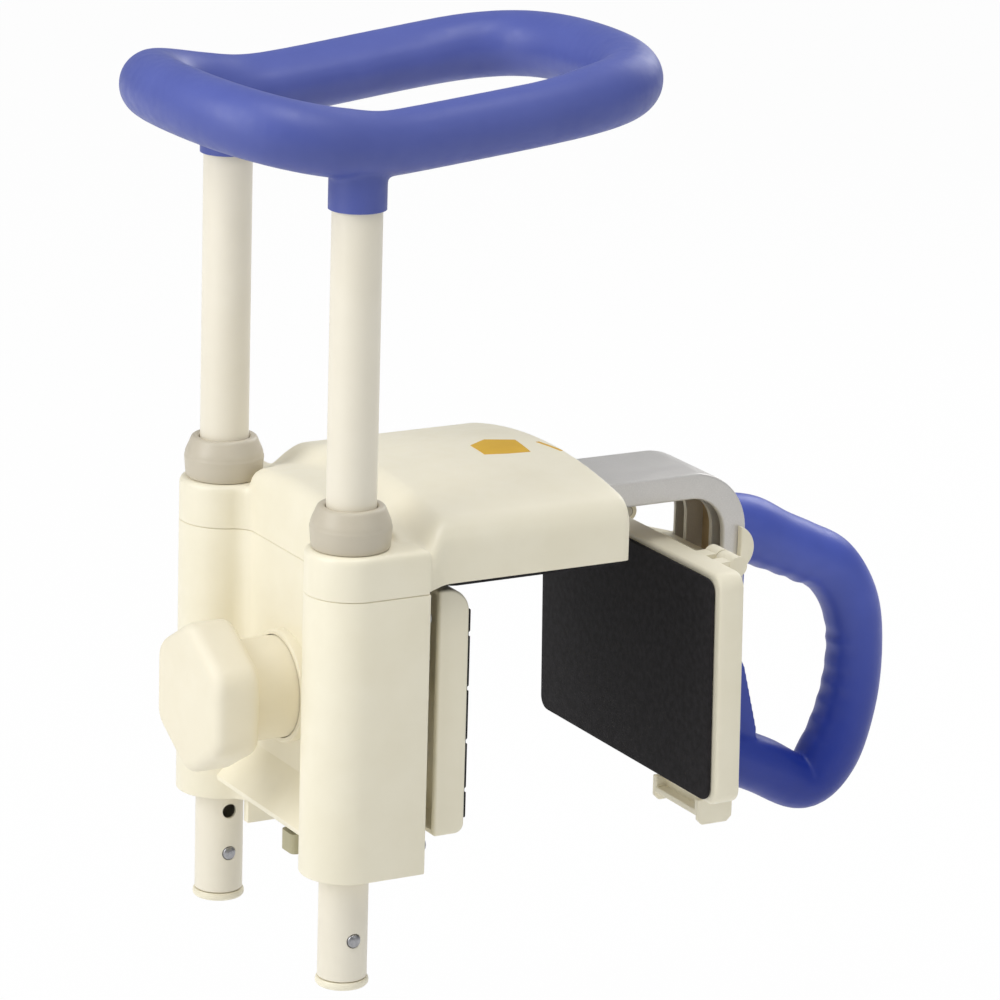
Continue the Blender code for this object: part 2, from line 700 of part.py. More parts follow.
def housing_openings():
    """Bores, windows and screw holes of the housing."""
    neck = NECK_RADIUS + NECK_CLEARANCE
    tools = [
        rod(clamp_point(-COLUMN_RADIUS), clamp_point(WEB_FACE + HOUSING_WALL + BUTT_STEP), neck, LARGE_SIDES),
        block(
            (at(PLUNGER_X[0]) - TOUCH_GAP, at(PLUNGER_X[1]) + TOUCH_GAP),
            (-PLUNGER_HALF_WIDTH - TOUCH_GAP, PLUNGER_HALF_WIDTH + TOUCH_GAP),
            (-HOUSING_HEIGHT - CUT_MARGIN, FLOOR_Z + FLOOR_BREAK),
        ),
        block(
            (at(WEB_FACE), at(WEB_FACE + COVER_WALL) + TOUCH_GAP),
            (-POST_HALF_SPACING, POST_HALF_SPACING),
            (TOUCH_GAP / 3, LEDGE_Z + CUT_MARGIN),
        ),
    ]
    slider_room = SLIDER_HALF_HEIGHT + SLIDER_ROOM
    for side in SIDES:
        tools.append(upright(side, FLOOR_Z, CUT_MARGIN, TUBE_BORE))
        floor_cut = (-HOUSING_HEIGHT - CUT_MARGIN, FLOOR_Z + CUT_MARGIN)
        tools.append(upright(side, *floor_cut, BUSH_INNER + TOUCH_GAP))
        tools.append(upright(side, -COLLET_SEAT, CUT_MARGIN, COLLET_FLANGE_RADIUS + TOUCH_GAP))
        tools.append(block(
            (at(-NOSE_RADIUS - SLIDER_ROOM), at(LOCK_WINDOW_LENGTH)),
            (side * (SLIDER_OUTER_Y - SLIDER_PLATE - LOCK_DRAW - SLIDER_ROOM / 2), side * POST_INNER_Y),
            (LOCK_Z - slider_room, LOCK_Z + slider_room),
        ))
        boss_room = ROD_BOSS_RADIUS + SLIDER_ROOM
        tools.append(block(
            (at(REAR_BOSSES_START - BUTT_STEP), REAR_X),
            (side * (RIB_Y - BUTT_STEP), side * (RIB_Y + RIB_THICKNESS + BUTT_STEP)),
            (CLAMP_Z - boss_room, CLAMP_Z + boss_room),
        ))
        screw_x, screw_y = FRAME_SCREW_AT
        tools.append(rod(
            (at(screw_x), side * screw_y, LEDGE_Z - FRAME_SCREW_DEPTH - TOUCH_GAP),
            (at(screw_x), side * screw_y, LEDGE_Z + CUT_MARGIN),
            FRAME_SCREW_RADIUS + SCREW_CLEARANCE,
            HOLE_SIDES,
        ))
        for height in REAR_SCREW_ZS:
            tools.append(rod(
                (REAR_X - REAR_SCREW_LENGTH - TOUCH_GAP, side * REAR_SCREW_Y, height),
                (REAR_X, side * REAR_SCREW_Y, height),
                SMALL_SCREW_RADIUS + SCREW_CLEARANCE,
                HOLE_SIDES,
            ))
    return tools


def main_housing():
    shell = prism(housing_outline(0, REAR_X), "XY", (-HOUSING_HEIGHT, 0))
    shell = cut(shell, housing_hollow())
    shell = fused(shell, scoop(), *housing_fittings())
    return cut(shell, *housing_openings())


def rear_cover_plate():
    half = POST_HALF_SPACING + COLUMN_RADIUS - HOUSING_WALL - TOUCH_GAP
    front_face = REAR_X - REAR_PLATE_THICKNESS
    plate = block((front_face, REAR_X), (-half, half), (FLOOR_Z + TOUCH_GAP, -TOUCH_GAP))
    bosses = [rod(clamp_point(REAR_BOSSES_START), (front_face + BUTT_STEP, 0, CLAMP_Z), NUT_BOSS_RADIUS)]
    cradle_top = LOCK_Z - SPRING_RADIUS - TOUCH_GAP
    bosses.append(block(
        (at(SLIDER_BAR_X[0]), front_face + BUTT_STEP),
        (-SPRING_HALF_LENGTH, SPRING_HALF_LENGTH),
        (FLOOR_Z + CRADLE_LIFT, cradle_top),
    ))
    holes = [rod(clamp_point(0), (REAR_X + CUT_MARGIN, 0, CLAMP_Z), NUT_RADIUS + TOUCH_GAP)]
    for side in SIDES:
        bosses.append(rod(
            rod_point(side, REAR_BOSSES_START),
            rod_point(side, HOUSING_DEPTH - BUTT_STEP),
            ROD_BOSS_RADIUS,
        ))
        holes.append(rod(
            rod_point(side, 0),
            rod_point(side, HOUSING_DEPTH + CUT_MARGIN),
            ROD_BUSH_RADIUS + TOUCH_GAP,
            SMALL_SIDES,
        ))
        for height in REAR_SCREW_ZS:
            holes.append(rod(
                (front_face - CUT_MARGIN, side * REAR_SCREW_Y, height),
                (REAR_X + CUT_MARGIN, side * REAR_SCREW_Y, height),
                SMALL_SCREW_RADIUS + SCREW_CLEARANCE,
                HOLE_SIDES,
            ))
    return cut(fused(plate, *bosses), *holes)


# Round pieces about the posts

def upright(side, low, high, radius, sides=LARGE_SIDES):
    """Solid upright bar on a post's axis."""
    y = side * POST_HALF_SPACING
    return rod((POST_X, y, low), (POST_X, y, high), radius, sides)


def round_post(side, profile, sides=LARGE_SIDES):
    """Turn (radius, world height) points about a post's axis."""
    y = side * POST_HALF_SPACING
    return turned(profile, (POST_X, y, 0), (POST_X, y, 1), sides)


def post_collet(side):
    seat = COLLET_SEAT - TOUCH_GAP
    under_cover = SHOULDER_Z - COVER_WALL - TOUCH_GAP
    return round_post(side, [
        (BUSH_INNER, -COLLET_TAIL),
        (BUSH_OUTER, -COLLET_TAIL),
        (BUSH_OUTER, -seat),
        (COLLET_FLANGE_RADIUS, -seat),
        (COLLET_FLANGE_RADIUS, under_cover),
        (COLLET_NECK_RADIUS, under_cover),
        (COLLET_NECK_RADIUS, COLLET_NECK_TOP_Z),
        (COLLET_NOSE_RADIUS, COLLET_NOSE_TOP_Z),
        (BUSH_INNER, COLLET_NOSE_TOP_Z),
    ])


def lower_bush(side):
    """Bush that rests on the housing's floor, with a hole for the lock nose."""
    low = FLOOR_Z + TOUCH_GAP
    bush = round_post(side, [
        (BUSH_INNER, low),
        (BUSH_OUTER, low),
        (BUSH_OUTER, low + BUSH_LENGTH),
        (BUSH_INNER, low + BUSH_LENGTH),
    ])
    inner = side * (POST_HALF_SPACING - BUSH_OUTER - CUT_MARGIN)
    hole = rod(
        (POST_X, side * POST_HALF_SPACING, LOCK_Z),
        (POST_X, inner, LOCK_Z),
        NOSE_RADIUS + SLIDER_ROOM,
        HOLE_SIDES,
    )
    return cut(bush, hole)


def lock_ring(side):
    base = SHOULDER_Z + TOUCH_GAP
    bore = COLLET_NECK_RADIUS + TOUCH_GAP
    return round_post(side, [
        (bore, base),
        (RING_RADIUS, base),
        (RING_RADIUS, RING_WALL_TOP_Z),
        (RING_TOP_RADIUS, RING_TOP_Z),
        (BUSH_INNER, RING_TOP_Z),
        (BUSH_INNER, COLLET_NOSE_TOP_Z + RING_NOSE_ROOM),
        (COLLET_NOSE_RADIUS + RING_NOSE_ROOM, COLLET_NOSE_TOP_Z + TOUCH_GAP),
        (bore, COLLET_NECK_TOP_Z + TOUCH_GAP),
    ])


# Cover over the rim

def cover_section(distance, inset, bottom):
    """Points across the cover at a distance from the post axis."""
    blend = smooth_step(distance, COVER_STEP_START, COVER_STEP_END)
    crown = COVER_FRONT_CROWN + (COVER_CROWN - COVER_FRONT_CROWN) * blend - inset
    half = COVER_FRONT_HALF_WIDTH + (COVER_HALF_WIDTH - COVER_FRONT_HALF_WIDTH) * blend - inset
    arch = COVER_FRONT_ARCH_RADIUS + (COVER_ARCH_RADIUS - COVER_FRONT_ARCH_RADIUS) * blend - inset
    corner = COVER_CORNER_RADIUS - inset
    corner_y = half - corner
    middle_z = crown - arch
    corner_z = middle_z + math.sqrt((arch - corner) ** 2 - corner_y ** 2)
    meeting = math.degrees(math.atan2(corner_z - middle_z, corner_y))
    right = arc((corner_y, corner_z), corner, 0, meeting, 3) + arc((0, middle_z), arch, meeting, 90, 4)[1:]
    right = [(half, bottom)] + right
    points = right + [(-y, z) for y, z in reversed(right[:-1])]
    start = WEB_FACE + inset
    round_left = max(COVER_FRONT_ROUND - (distance - start), 0)
    drop = COVER_FRONT_ROUND - math.sqrt(COVER_FRONT_ROUND ** 2 - round_left ** 2)
    share = (crown - drop - bottom) / (crown - bottom)
    return [(at(distance), y, bottom + (z - bottom) * share) for y, z in points]


def cover_arch(inset, bottom):
    start = WEB_FACE + inset
    places = [start + COVER_FRONT_ROUND * (1 - math.cos(math.pi / 2 * i / 3)) for i in range(4)]
    places += [COVER_STEP_START + (COVER_STEP_END - COVER_STEP_START) * i / 3 for i in range(4)]
    end = COVER_REACH - inset
    sections = [cover_section(place, inset, bottom) for place in places]
    sections.append(cover_section(end - COVER_END_ROUND, inset, bottom))
    last = cover_section(end - COVER_END_ROUND, inset + COVER_END_ROUND / 2, bottom)
    sections.append([(at(end), y, z) for x, y, z in last])
    return lofted(sections)


def cover_shoulder():
    """Band over the housing, with its round upper edge."""
    layers = [(0.0, TOUCH_GAP)]
    for i in range(4):
        turn = math.pi / 2 * i / 3
        rise = SHOULDER_Z - SHOULDER_ROUND * (1 - math.sin(turn))
        layers.append((SHOULDER_ROUND * (1 - math.cos(turn)), rise))
    sections = []
    for inset, height in layers:
        sections.append([(x, y, height) for x, y in housing_outline(inset, REAR_X - inset)])
    return lofted(sections)


def cover_top(y):
    """Height of the cover's outside over a place along the rim."""
    return COVER_CROWN - COVER_ARCH_RADIUS + math.sqrt(COVER_ARCH_RADIUS ** 2 - y ** 2)


def top_cover():
    ceiling = SHOULDER_Z - COVER_WALL
    above = COVER_CROWN + CUT_MARGIN
    arch = cut(cover_arch(0, COVER_EDGE_Z), *[upright(s, SHOULDER_Z, above, COLUMN_RADIUS) for s in SIDES])
    shell = fused(arch, cover_shoulder())
    room = cut(
        cover_arch(COVER_WALL, -CUT_MARGIN),
        *[upright(s, ceiling, above, COLUMN_RADIUS + COVER_WALL) for s in SIDES],
    )
    shoulder_room = prism(housing_outline(COVER_WALL, REAR_X - COVER_WALL), "XY", (-CUT_MARGIN, ceiling))
    shell = cut(shell, room, shoulder_room)
    screw_x, screw_y = COVER_SCREW_AT
    boss_top = cover_top(screw_y + COVER_BOSS_RADIUS) - TOUCH_GAP
    bosses = []
    holes = [block(
        (at(COVER_REACH) - 2 * COVER_WALL - CUT_MARGIN, at(COVER_REACH) + CUT_MARGIN),
        (-ARM_WIDTH / 2 - WINDOW_ROOM, ARM_WIDTH / 2 + WINDOW_ROOM),
        (ARM_Z - WINDOW_DROP, ARM_TOP_Z + WINDOW_ROOM),
    )]
    for side in SIDES:
        foot = (at(screw_x), side * screw_y, PLATE_TOP_Z + TOUCH_GAP)
        boss_end = (at(screw_x), side * screw_y, boss_top)
        bosses.append(rod(foot, boss_end, COVER_BOSS_RADIUS, SMALL_SIDES))
        holes.append(rod(
            (at(screw_x), side * screw_y, 0),
            (at(screw_x), side * screw_y, COVER_SCREW_TOP_Z + TOUCH_GAP),
            SMALL_SCREW_RADIUS + SCREW_CLEARANCE,
            HOLE_SIDES,
        ))
        post_hole = COLLET_NECK_RADIUS + COVER_HOLE_ROOM
        holes.append(upright(side, ceiling - CUT_MARGIN, SHOULDER_Z + CUT_MARGIN, post_hole))
    return cut(fused(shell, *bosses), *holes)


# Frame over the rim

def base_plate():
    chamfer = PLATE_CHAMFER
    half = [
        (at(PLATE_START), PLATE_NARROW_HALF),
        (at(PLATE_WIDE_START), PLATE_NARROW_HALF),
        (at(PLATE_WIDE_START), PLATE_WIDE_HALF - chamfer),
        (at(PLATE_WIDE_START + chamfer), PLATE_WIDE_HALF),
        (at(PLATE_END - chamfer), PLATE_WIDE_HALF),
        (at(PLATE_END), PLATE_WIDE_HALF - chamfer),
    ]
    outline = half + [(x, -y) for x, y in reversed(half)]
    plate = prism(outline, "XY", (PLATE_Z, PLATE_TOP_Z))
    holes = []
    for side in SIDES:
        holes.append(plate_hole(FRAME_SCREW_AT[0], side * FRAME_SCREW_AT[1], FRAME_SCREW_RADIUS))
        holes.append(plate_hole(COVER_SCREW_AT[0], side * COVER_SCREW_AT[1], SMALL_SCREW_RADIUS))
        holes.append(plate_hole(-POST_X + side * SETTING_BOLT_SPREAD, 0, SETTING_BOLT_RADIUS))
    return cut(plate, *holes)


def plate_hole(distance, y, radius):
    return rod(
        (at(distance), y, PLATE_Z - CUT_MARGIN),
        (at(distance), y, PLATE_TOP_Z + CUT_MARGIN),
        radius + SCREW_CLEARANCE,
        HOLE_SIDES,
    )


def rim_seat_pad():
    """Rubber pad under the base plate, with a thin edge that reaches under the cover's rim."""
    low = (-RIM_PAD_HALF_LENGTH, -RIM_PAD_HALF_WIDTH)
    high = (RIM_PAD_HALF_LENGTH, RIM_PAD_HALF_WIDTH)
    start, end = RIM_PAD_EDGE_X
    half = RIM_PAD_EDGE_HALF_WIDTH
    edge = round_rectangle((at(start), -half), (at(end), half), RIM_PAD_CORNER)
    edge_top = COVER_EDGE_Z - TOUCH_GAP
    middle = prism(round_rectangle(low, high, RIM_PAD_CORNER), "XY", (edge_top / 2, PAD_RUBBER_THICKNESS))
    pad = fused(prism(edge, "XY", (0, edge_top)), middle)
    holes = []
    for side in SIDES:
        holes.append(rod(
            (side * SETTING_BOLT_SPREAD, 0, -CUT_MARGIN),
            (side * SETTING_BOLT_SPREAD, 0, PAD_RUBBER_THICKNESS + CUT_MARGIN),
            SETTING_BOLT_HEAD[0] + HEAD_ROOM,
            SMALL_SIDES,
        ))
        holes.append(rod(
            (at(COVER_SCREW_AT[0]), side * COVER_SCREW_AT[1], -CUT_MARGIN),
            (at(COVER_SCREW_AT[0]), side * COVER_SCREW_AT[1], PAD_RUBBER_THICKNESS + CUT_MARGIN),
            SMALL_SCREW_HEAD[0] + HEAD_ROOM,
            SMALL_SIDES,
        ))
    return cut(pad, *holes)


def arm_guide_tube():
    half = ARM_WIDTH / 2 + TOUCH_GAP
    span = (at(GUIDE_START), at(GUIDE_END))
    tube = block(span, (-half - GUIDE_WALL, half + GUIDE_WALL), (GUIDE_Z, ARM_TOP_Z + TOUCH_GAP + GUIDE_WALL))
    bore = block(
        (span[0] - CUT_MARGIN, span[1] + CUT_MARGIN),
        (-half, half),
        (ARM_Z - TOUCH_GAP, ARM_TOP_Z + TOUCH_GAP),
    )
    window = block(
        (-SHOE_HALF_LENGTH - TOUCH_GAP, SHOE_HALF_LENGTH + TOUCH_GAP),
        (-SHOE_HALF_WIDTH - TOUCH_GAP, SHOE_HALF_WIDTH + TOUCH_GAP),
        (GUIDE_Z - CUT_MARGIN, ARM_Z),
    )
    return cut(tube, bore, window)


def arm_clamp_shoe():
    return block(
        (-SHOE_HALF_LENGTH, SHOE_HALF_LENGTH),
        (-SHOE_HALF_WIDTH, SHOE_HALF_WIDTH),
        (GUIDE_Z, ARM_Z - TOUCH_GAP),
    )


# Fasteners

def screw(seat, tip, radius, head):
    """Screw with its head behind the seat point, pointing to the tip."""
    head_radius, head_height = head
    direction = (Vector(tip) - Vector(seat)).normalized()
    length = (Vector(tip) - Vector(seat)).length
    start = Vector(seat) - direction * head_height
    profile = [
        (0, 0),
        (head_radius, 0),
        (head_radius, head_height),
        (radius, head_height),
        (radius, head_height + length),
        (0, head_height + length),
    ]
    return turned(profile, start, start + direction, HOLE_SIDES)


def frame_screw(side):
    x, y = at(FRAME_SCREW_AT[0]), side * FRAME_SCREW_AT[1]
    top = PLATE_TOP_Z + TOUCH_GAP
    return screw((x, y, top), (x, y, LEDGE_Z - FRAME_SCREW_DEPTH), FRAME_SCREW_RADIUS, FRAME_SCREW_HEAD)


def cover_screw(side):
    x, y = at(COVER_SCREW_AT[0]), side * COVER_SCREW_AT[1]
    return screw((x, y, PLATE_Z - TOUCH_GAP), (x, y, COVER_SCREW_TOP_Z), SMALL_SCREW_RADIUS, SMALL_SCREW_HEAD)


def setting_bolt(side):
    x = side * SETTING_BOLT_SPREAD
    return screw((x, 0, PLATE_Z - TOUCH_GAP), (x, 0, PLATE_TOP_Z), SETTING_BOLT_RADIUS, SETTING_BOLT_HEAD)


def rear_screw(side, height):
    y = side * REAR_SCREW_Y
    seat = REAR_X + TOUCH_GAP
    tip = (REAR_X - REAR_SCREW_LENGTH, y, height)
    return screw((seat, y, height), tip, SMALL_SCREW_RADIUS, SMALL_SCREW_HEAD)


def handle_bolt(height):
    seat = ARM_LEG_X - ARM_SKIN - TOUCH_GAP
    tip = ARM_LEG_X + TOUCH_GAP + HANDLE_PLATE_THICKNESS
    return screw((seat, 0, height), (tip, 0, height), HANDLE_BOLT_RADIUS, HANDLE_BOLT_HEAD)


# Clamp

def clamp_point(distance):
    return (at(distance), 0, CLAMP_Z)


def rod_point(side, distance):
    return (at(distance), side * ROD_HALF_SPACING, CLAMP_Z)


def turned_on_clamp(profile, sides=MIDDLE_SIDES):
    """Turn (radius, distance from the post axis) points about the clamp's axis."""
    return turned(profile, clamp_point(0), clamp_point(1), sides)


def spindle_nut():
    flange_start = HOUSING_DEPTH + TOUCH_GAP
    bore = SPINDLE_RADIUS + SPINDLE_CLEARANCE
    return turned_on_clamp([
        (bore, REAR_BOSSES_START - BUTT_STEP),
        (NUT_RADIUS, REAR_BOSSES_START - BUTT_STEP),
        (NUT_RADIUS, flange_start),
        (NUT_FLANGE_RADIUS, flange_start),
        (NUT_FLANGE_RADIUS, flange_start + NUT_FLANGE_THICKNESS),
        (bore, flange_start + NUT_FLANGE_THICKNESS),
    ])


def rod_bush(side):
    flange_start = HOUSING_DEPTH + TOUCH_GAP
    bore = ROD_RADIUS + ROD_CLEARANCE
    profile = [
        (bore, REAR_BOSSES_START),
        (ROD_BUSH_RADIUS, REAR_BOSSES_START),
        (ROD_BUSH_RADIUS, flange_start),
        (ROD_BUSH_FLANGE_RADIUS, flange_start),
        (ROD_BUSH_FLANGE_RADIUS, flange_start + ROD_BUSH_FLANGE_THICKNESS),
        (bore, flange_start + ROD_BUSH_FLANGE_THICKNESS),
    ]
    return turned(profile, rod_point(side, 0), rod_point(side, 1), SMALL_SIDES)


def guide_rod(side):
    rod_end = rod_point(side, HOLDER_BOSS_X + ROD_SOCKET)
    return rod(rod_point(side, ROD_START), rod_end, ROD_RADIUS, SMALL_SIDES)


def outer_pad_holder():
    """Pad holder: a shell open to the housing, with sockets for the spindle and the rods."""
    back, face = at(HOLDER_BACK), at(HOLDER_BACK + HOLDER_DEPTH)
    radius = HOLDER_ROUND
    corner = arc((face - radius, HOLDER_TOP_Z - radius), radius, 0, 90)
    foot_round = HOLDER_FOOT_ROUND
    foot = arc((face - foot_round, HOLDER_BOTTOM_Z + foot_round), foot_round, -90, 0, 3)
    outline = [(back, HOLDER_BOTTOM_Z)] + foot + corner + [(back, HOLDER_TOP_Z)]
    shell = prism(outline, "XZ", (-HOLDER_HALF_WIDTH, HOLDER_HALF_WIDTH))
    wall = HOLDER_WALL
    inner = arc((face - radius, HOLDER_TOP_Z - radius), radius - wall, 0, 90)
    room = [(back - CUT_MARGIN, HOLDER_BOTTOM_Z + wall), (face - wall, HOLDER_BOTTOM_Z + wall)] + inner
    room.append((back - CUT_MARGIN, HOLDER_TOP_Z - wall))
    shell = cut(shell, prism(room, "XZ", (-HOLDER_HALF_WIDTH + wall, HOLDER_HALF_WIDTH - wall)))
    boss_end = HOLDER_BACK + HOLDER_DEPTH - wall / 2
    bosses = [rod(clamp_point(HOLDER_BOSS_X), clamp_point(boss_end), CLAMP_BOSS_RADIUS)]
    nose_end = HOLDER_BOSS_X + NOSE_SOCKET + TOUCH_GAP
    sockets = [rod(clamp_point(HOLDER_BACK), clamp_point(nose_end), SPINDLE_NOSE_RADIUS + SPINDLE_CLEARANCE)]
    for side in SIDES:
        ends = (rod_point(side, HOLDER_BOSS_X), rod_point(side, boss_end))
        bosses.append(rod(*ends, ROD_BOSS_RADIUS, SMALL_SIDES))
        sockets.append(rod(
            rod_point(side, HOLDER_BACK),
            rod_point(side, HOLDER_BOSS_X + ROD_SOCKET + TOUCH_GAP),
            ROD_RADIUS + ROD_CLEARANCE,
            SMALL_SIDES,
        ))
    return cut(fused(shell, *bosses), *sockets)


def outer_pad_rubber():
    back = at(HOLDER_BACK + HOLDER_DEPTH) + TOUCH_GAP
    face = back + OUTER_RUBBER_THICKNESS
    half = HOLDER_HALF_WIDTH - OUTER_RUBBER_MARGIN
    span = (HOLDER_BOTTOM_Z + OUTER_RUBBER_FOOT_MARGIN, HOLDER_TOP_Z - HOLDER_ROUND)
    pad = block((back, face), (-half, half), span)
    grooves = [
        block(
            (face - GROOVE_DEPTH, face + CUT_MARGIN),
            (-half - CUT_MARGIN, half + CUT_MARGIN),
            (height - GROOVE_WIDTH / 2, height + GROOVE_WIDTH / 2),
        )
        for height in GROOVE_ZS
    ]
    return cut(pad, *grooves)


def thrust_washer():
    start = HOLDER_BOSS_X - TOUCH_GAP - WASHER_THICKNESS
    bore = SPINDLE_NOSE_RADIUS + SPINDLE_CLEARANCE
    return turned_on_clamp([
        (bore, start),
        (WASHER_RADIUS, start),
        (WASHER_RADIUS, start + WASHER_THICKNESS),
        (bore, start + WASHER_THICKNESS),
    ])


def clamp_spindle():
    start = KNOB_FRONT + KNOB_FACE_WALL + TOUCH_GAP
    shoulder = HOLDER_BOSS_X - 2 * TOUCH_GAP - WASHER_THICKNESS
    return turned_on_clamp([
        (0, start),
        (SPINDLE_RADIUS, start),
        (SPINDLE_RADIUS, shoulder),
        (SPINDLE_NOSE_RADIUS, shoulder),
        (SPINDLE_NOSE_RADIUS, HOLDER_BOSS_X + NOSE_SOCKET),
        (0, HOLDER_BOSS_X + NOSE_SOCKET),
    ])


def knob_outline(inset):
    """Round-cornered hexagon with corners up and down, as (y, z) about the clamp's axis."""
    middle_reach = KNOB_CORNER_REACH - KNOB_CORNER_RADIUS
    points = []
    for corner in range(6):
        turn = 90 + 60 * corner
        angle = math.radians(turn)
        middle = (middle_reach * math.cos(angle), middle_reach * math.sin(angle))
        points += arc(middle, KNOB_CORNER_RADIUS - inset, turn - 30, turn + 30, 3)
    return points


def clamp_knob():
    layers = [(KNOB_BACK_CHAMFER[0], KNOB_BACK), (0, KNOB_BACK - KNOB_BACK_CHAMFER[1])]
    for i in range(4):
        turn = math.pi / 2 * i / 3
        layers.append((
            KNOB_FACE_ROUND * (1 - math.cos(turn)),
            KNOB_FRONT + KNOB_FACE_ROUND * (1 - math.sin(turn)),
        ))
    sections = []
    for inset, distance in layers:
        sections.append([(at(distance), y, CLAMP_Z + z) for y, z in knob_outline(inset)])
    head = lofted(sections)
    neck = rod(clamp_point(KNOB_BACK - BUTT_STEP), clamp_point(NECK_END), NECK_RADIUS, LARGE_SIDES)
    room_start = KNOB_BACK + NECK_WALL
    room = turned_on_clamp([
        (HUB_RADIUS, room_start),
        (NECK_RADIUS - NECK_WALL, room_start),
        (NECK_RADIUS - NECK_WALL, NECK_END + CUT_MARGIN),
        (HUB_RADIUS, NECK_END + CUT_MARGIN),
    ])
    bore = rod(
        clamp_point(KNOB_FRONT + KNOB_FACE_WALL),
        clamp_point(NECK_END + CUT_MARGIN),
        SPINDLE_RADIUS + TOUCH_GAP,
    )
    return cut(fused(head, neck), room, bore)


# Height lock

def lock_slider():
    """Front slider: the nose at the post, the bar to the middle and the peg in the plunger's slot."""
    outer = -SLIDER_OUTER_Y
    inner = -SLIDER_INNER_END
    height = (LOCK_Z - SLIDER_HALF_HEIGHT, LOCK_Z + SLIDER_HALF_HEIGHT)
    plate = block((at(-NOSE_RADIUS), at(SLIDER_BAR_X[1])), (outer, outer + SLIDER_PLATE), height)
    bar = block((at(SLIDER_BAR_X[0]), at(SLIDER_BAR_X[1])), (outer, inner), height)
    nose = rod(
        (POST_X, outer + SLIDER_PLATE / 2, LOCK_Z),
        (POST_X, -POST_INNER_Y + TOUCH_GAP, LOCK_Z),
        NOSE_RADIUS - BUTT_STEP / 10,
        HOLE_SIDES,
    )
    peg = rod(
        (at(CAM_X[0]) + TOUCH_GAP, -PEG_Y, PEG_Z),
        (at(SLIDER_BAR_X[0]) + BUTT_STEP, -PEG_Y, PEG_Z),
        PEG_RADIUS,
        HOLE_SIDES,
    )
    return fused(plate, bar, nose, peg)


def release_plunger():
    """Push piece under the housing, with the slotted plate that draws the sliders in."""
    wide_top = FLOOR_Z - PLUNGER_TRAVEL - TOUCH_GAP
    flange = (FLOOR_Z + TOUCH_GAP, FLOOR_Z + TOUCH_GAP + PLUNGER_FLANGE_THICKNESS)
    low, high = (at(PLUNGER_X[0]), -PLUNGER_HALF_WIDTH), (at(PLUNGER_X[1]), PLUNGER_HALF_WIDTH)
    foot = prism(round_rectangle(low, high, PLUNGER_CORNER), "XY", (PLUNGER_BOTTOM_Z, wide_top))
    neck_half = PLUNGER_HALF_WIDTH - PLUNGER_CORNER
    neck_span = (at(CAM_X[0]), at(CAM_X[1]) - BUTT_STEP / 10)
    neck = block(neck_span, (-neck_half, neck_half), (wide_top - BUTT_STEP, flange[1]))
    stop = block(
        (at(PLUNGER_FLANGE_X), at(CAM_X[1])),
        (-PLUNGER_FLANGE_HALF, PLUNGER_FLANGE_HALF),
        flange,
    )
    cam = block(
        (at(CAM_X[0]), at(CAM_X[1])),
        (-CAM_HALF_WIDTH, CAM_HALF_WIDTH),
        (flange[0], CAM_TOP_Z),
    )
    return cut(fused(foot, neck, stop, cam), *[cam_slot(side) for side in SIDES])


def cam_slot(side):
    """Slanted slot that carries a peg inwards as the plunger rises."""
    radius = PEG_RADIUS + TOUCH_GAP
    start = Vector((side * PEG_Y, PEG_Z))
    end = Vector((side * (PEG_Y - LOCK_DRAW), PEG_Z - PLUNGER_TRAVEL))
    slant = math.degrees(math.atan2(start.y - end.y, start.x - end.x))
    outline = arc(start, radius, slant - 90, slant + 90) + arc(end, radius, slant + 90, slant + 270)
    return prism(outline, "YZ", (at(CAM_X[0]) - CUT_MARGIN, at(CAM_X[1]) + CUT_MARGIN))


def lock_spring():
    """Spring between the inner ends of the sliders, drawn at its pressed length."""
    middle_x = at(sum(SLIDER_BAR_X) / 2)
    half = SPRING_HALF_LENGTH
    inner = SPRING_RADIUS - SPRING_WALL
    profile = [(inner, -half), (SPRING_RADIUS, -half), (SPRING_RADIUS, half), (inner, half)]
    return turned(profile, (middle_x, 0, LOCK_Z), (middle_x, 1, LOCK_Z), HOLE_SIDES)


# Posts and top grip

def post(side):
    """Post tube with the row of lock holes on its inner side and the button's hole in front."""
    inner = POST_RADIUS - POST_WALL
    tube = round_post(side, [
        (inner, POST_BOTTOM_Z),
        (POST_RADIUS, POST_BOTTOM_Z),
        (POST_RADIUS, POST_TOP_Z),
        (inner, POST_TOP_Z),
    ])
    y = side * POST_HALF_SPACING
    holes = []
    for index in range(HOLE_COUNT):
        height = LOCK_Z + (index - HOLES_BELOW_LOCK) * HOLE_PITCH
        hole_end = (POST_X, y - side * POST_REACH, height)
        holes.append(rod((POST_X, y, height), hole_end, HOLE_RADIUS, HOLE_SIDES))
    holes.append(rod(
        (POST_X, y, BUTTON_Z),
        (POST_X, y - POST_REACH, BUTTON_Z),
        BUTTON_RADIUS + TOUCH_GAP,
        HOLE_SIDES,
    ))
    return cut(tube, *holes)


def foot_cap(side):
    plug = POST_RADIUS - POST_WALL - TOUCH_GAP
    rim = POST_BOTTOM_Z - TOUCH_GAP
    bottom = rim - CAP_DEPTH
    return round_post(side, [
        (0, bottom),
        (POST_RADIUS, bottom),
        (CAP_RADIUS, bottom + CAP_DEPTH / 4),
        (CAP_RADIUS - CAP_DEPTH / 8, rim),
        (plug, rim),
        (plug, rim + CAP_PLUG_LENGTH),
        (0, rim + CAP_PLUG_LENGTH),
    ])


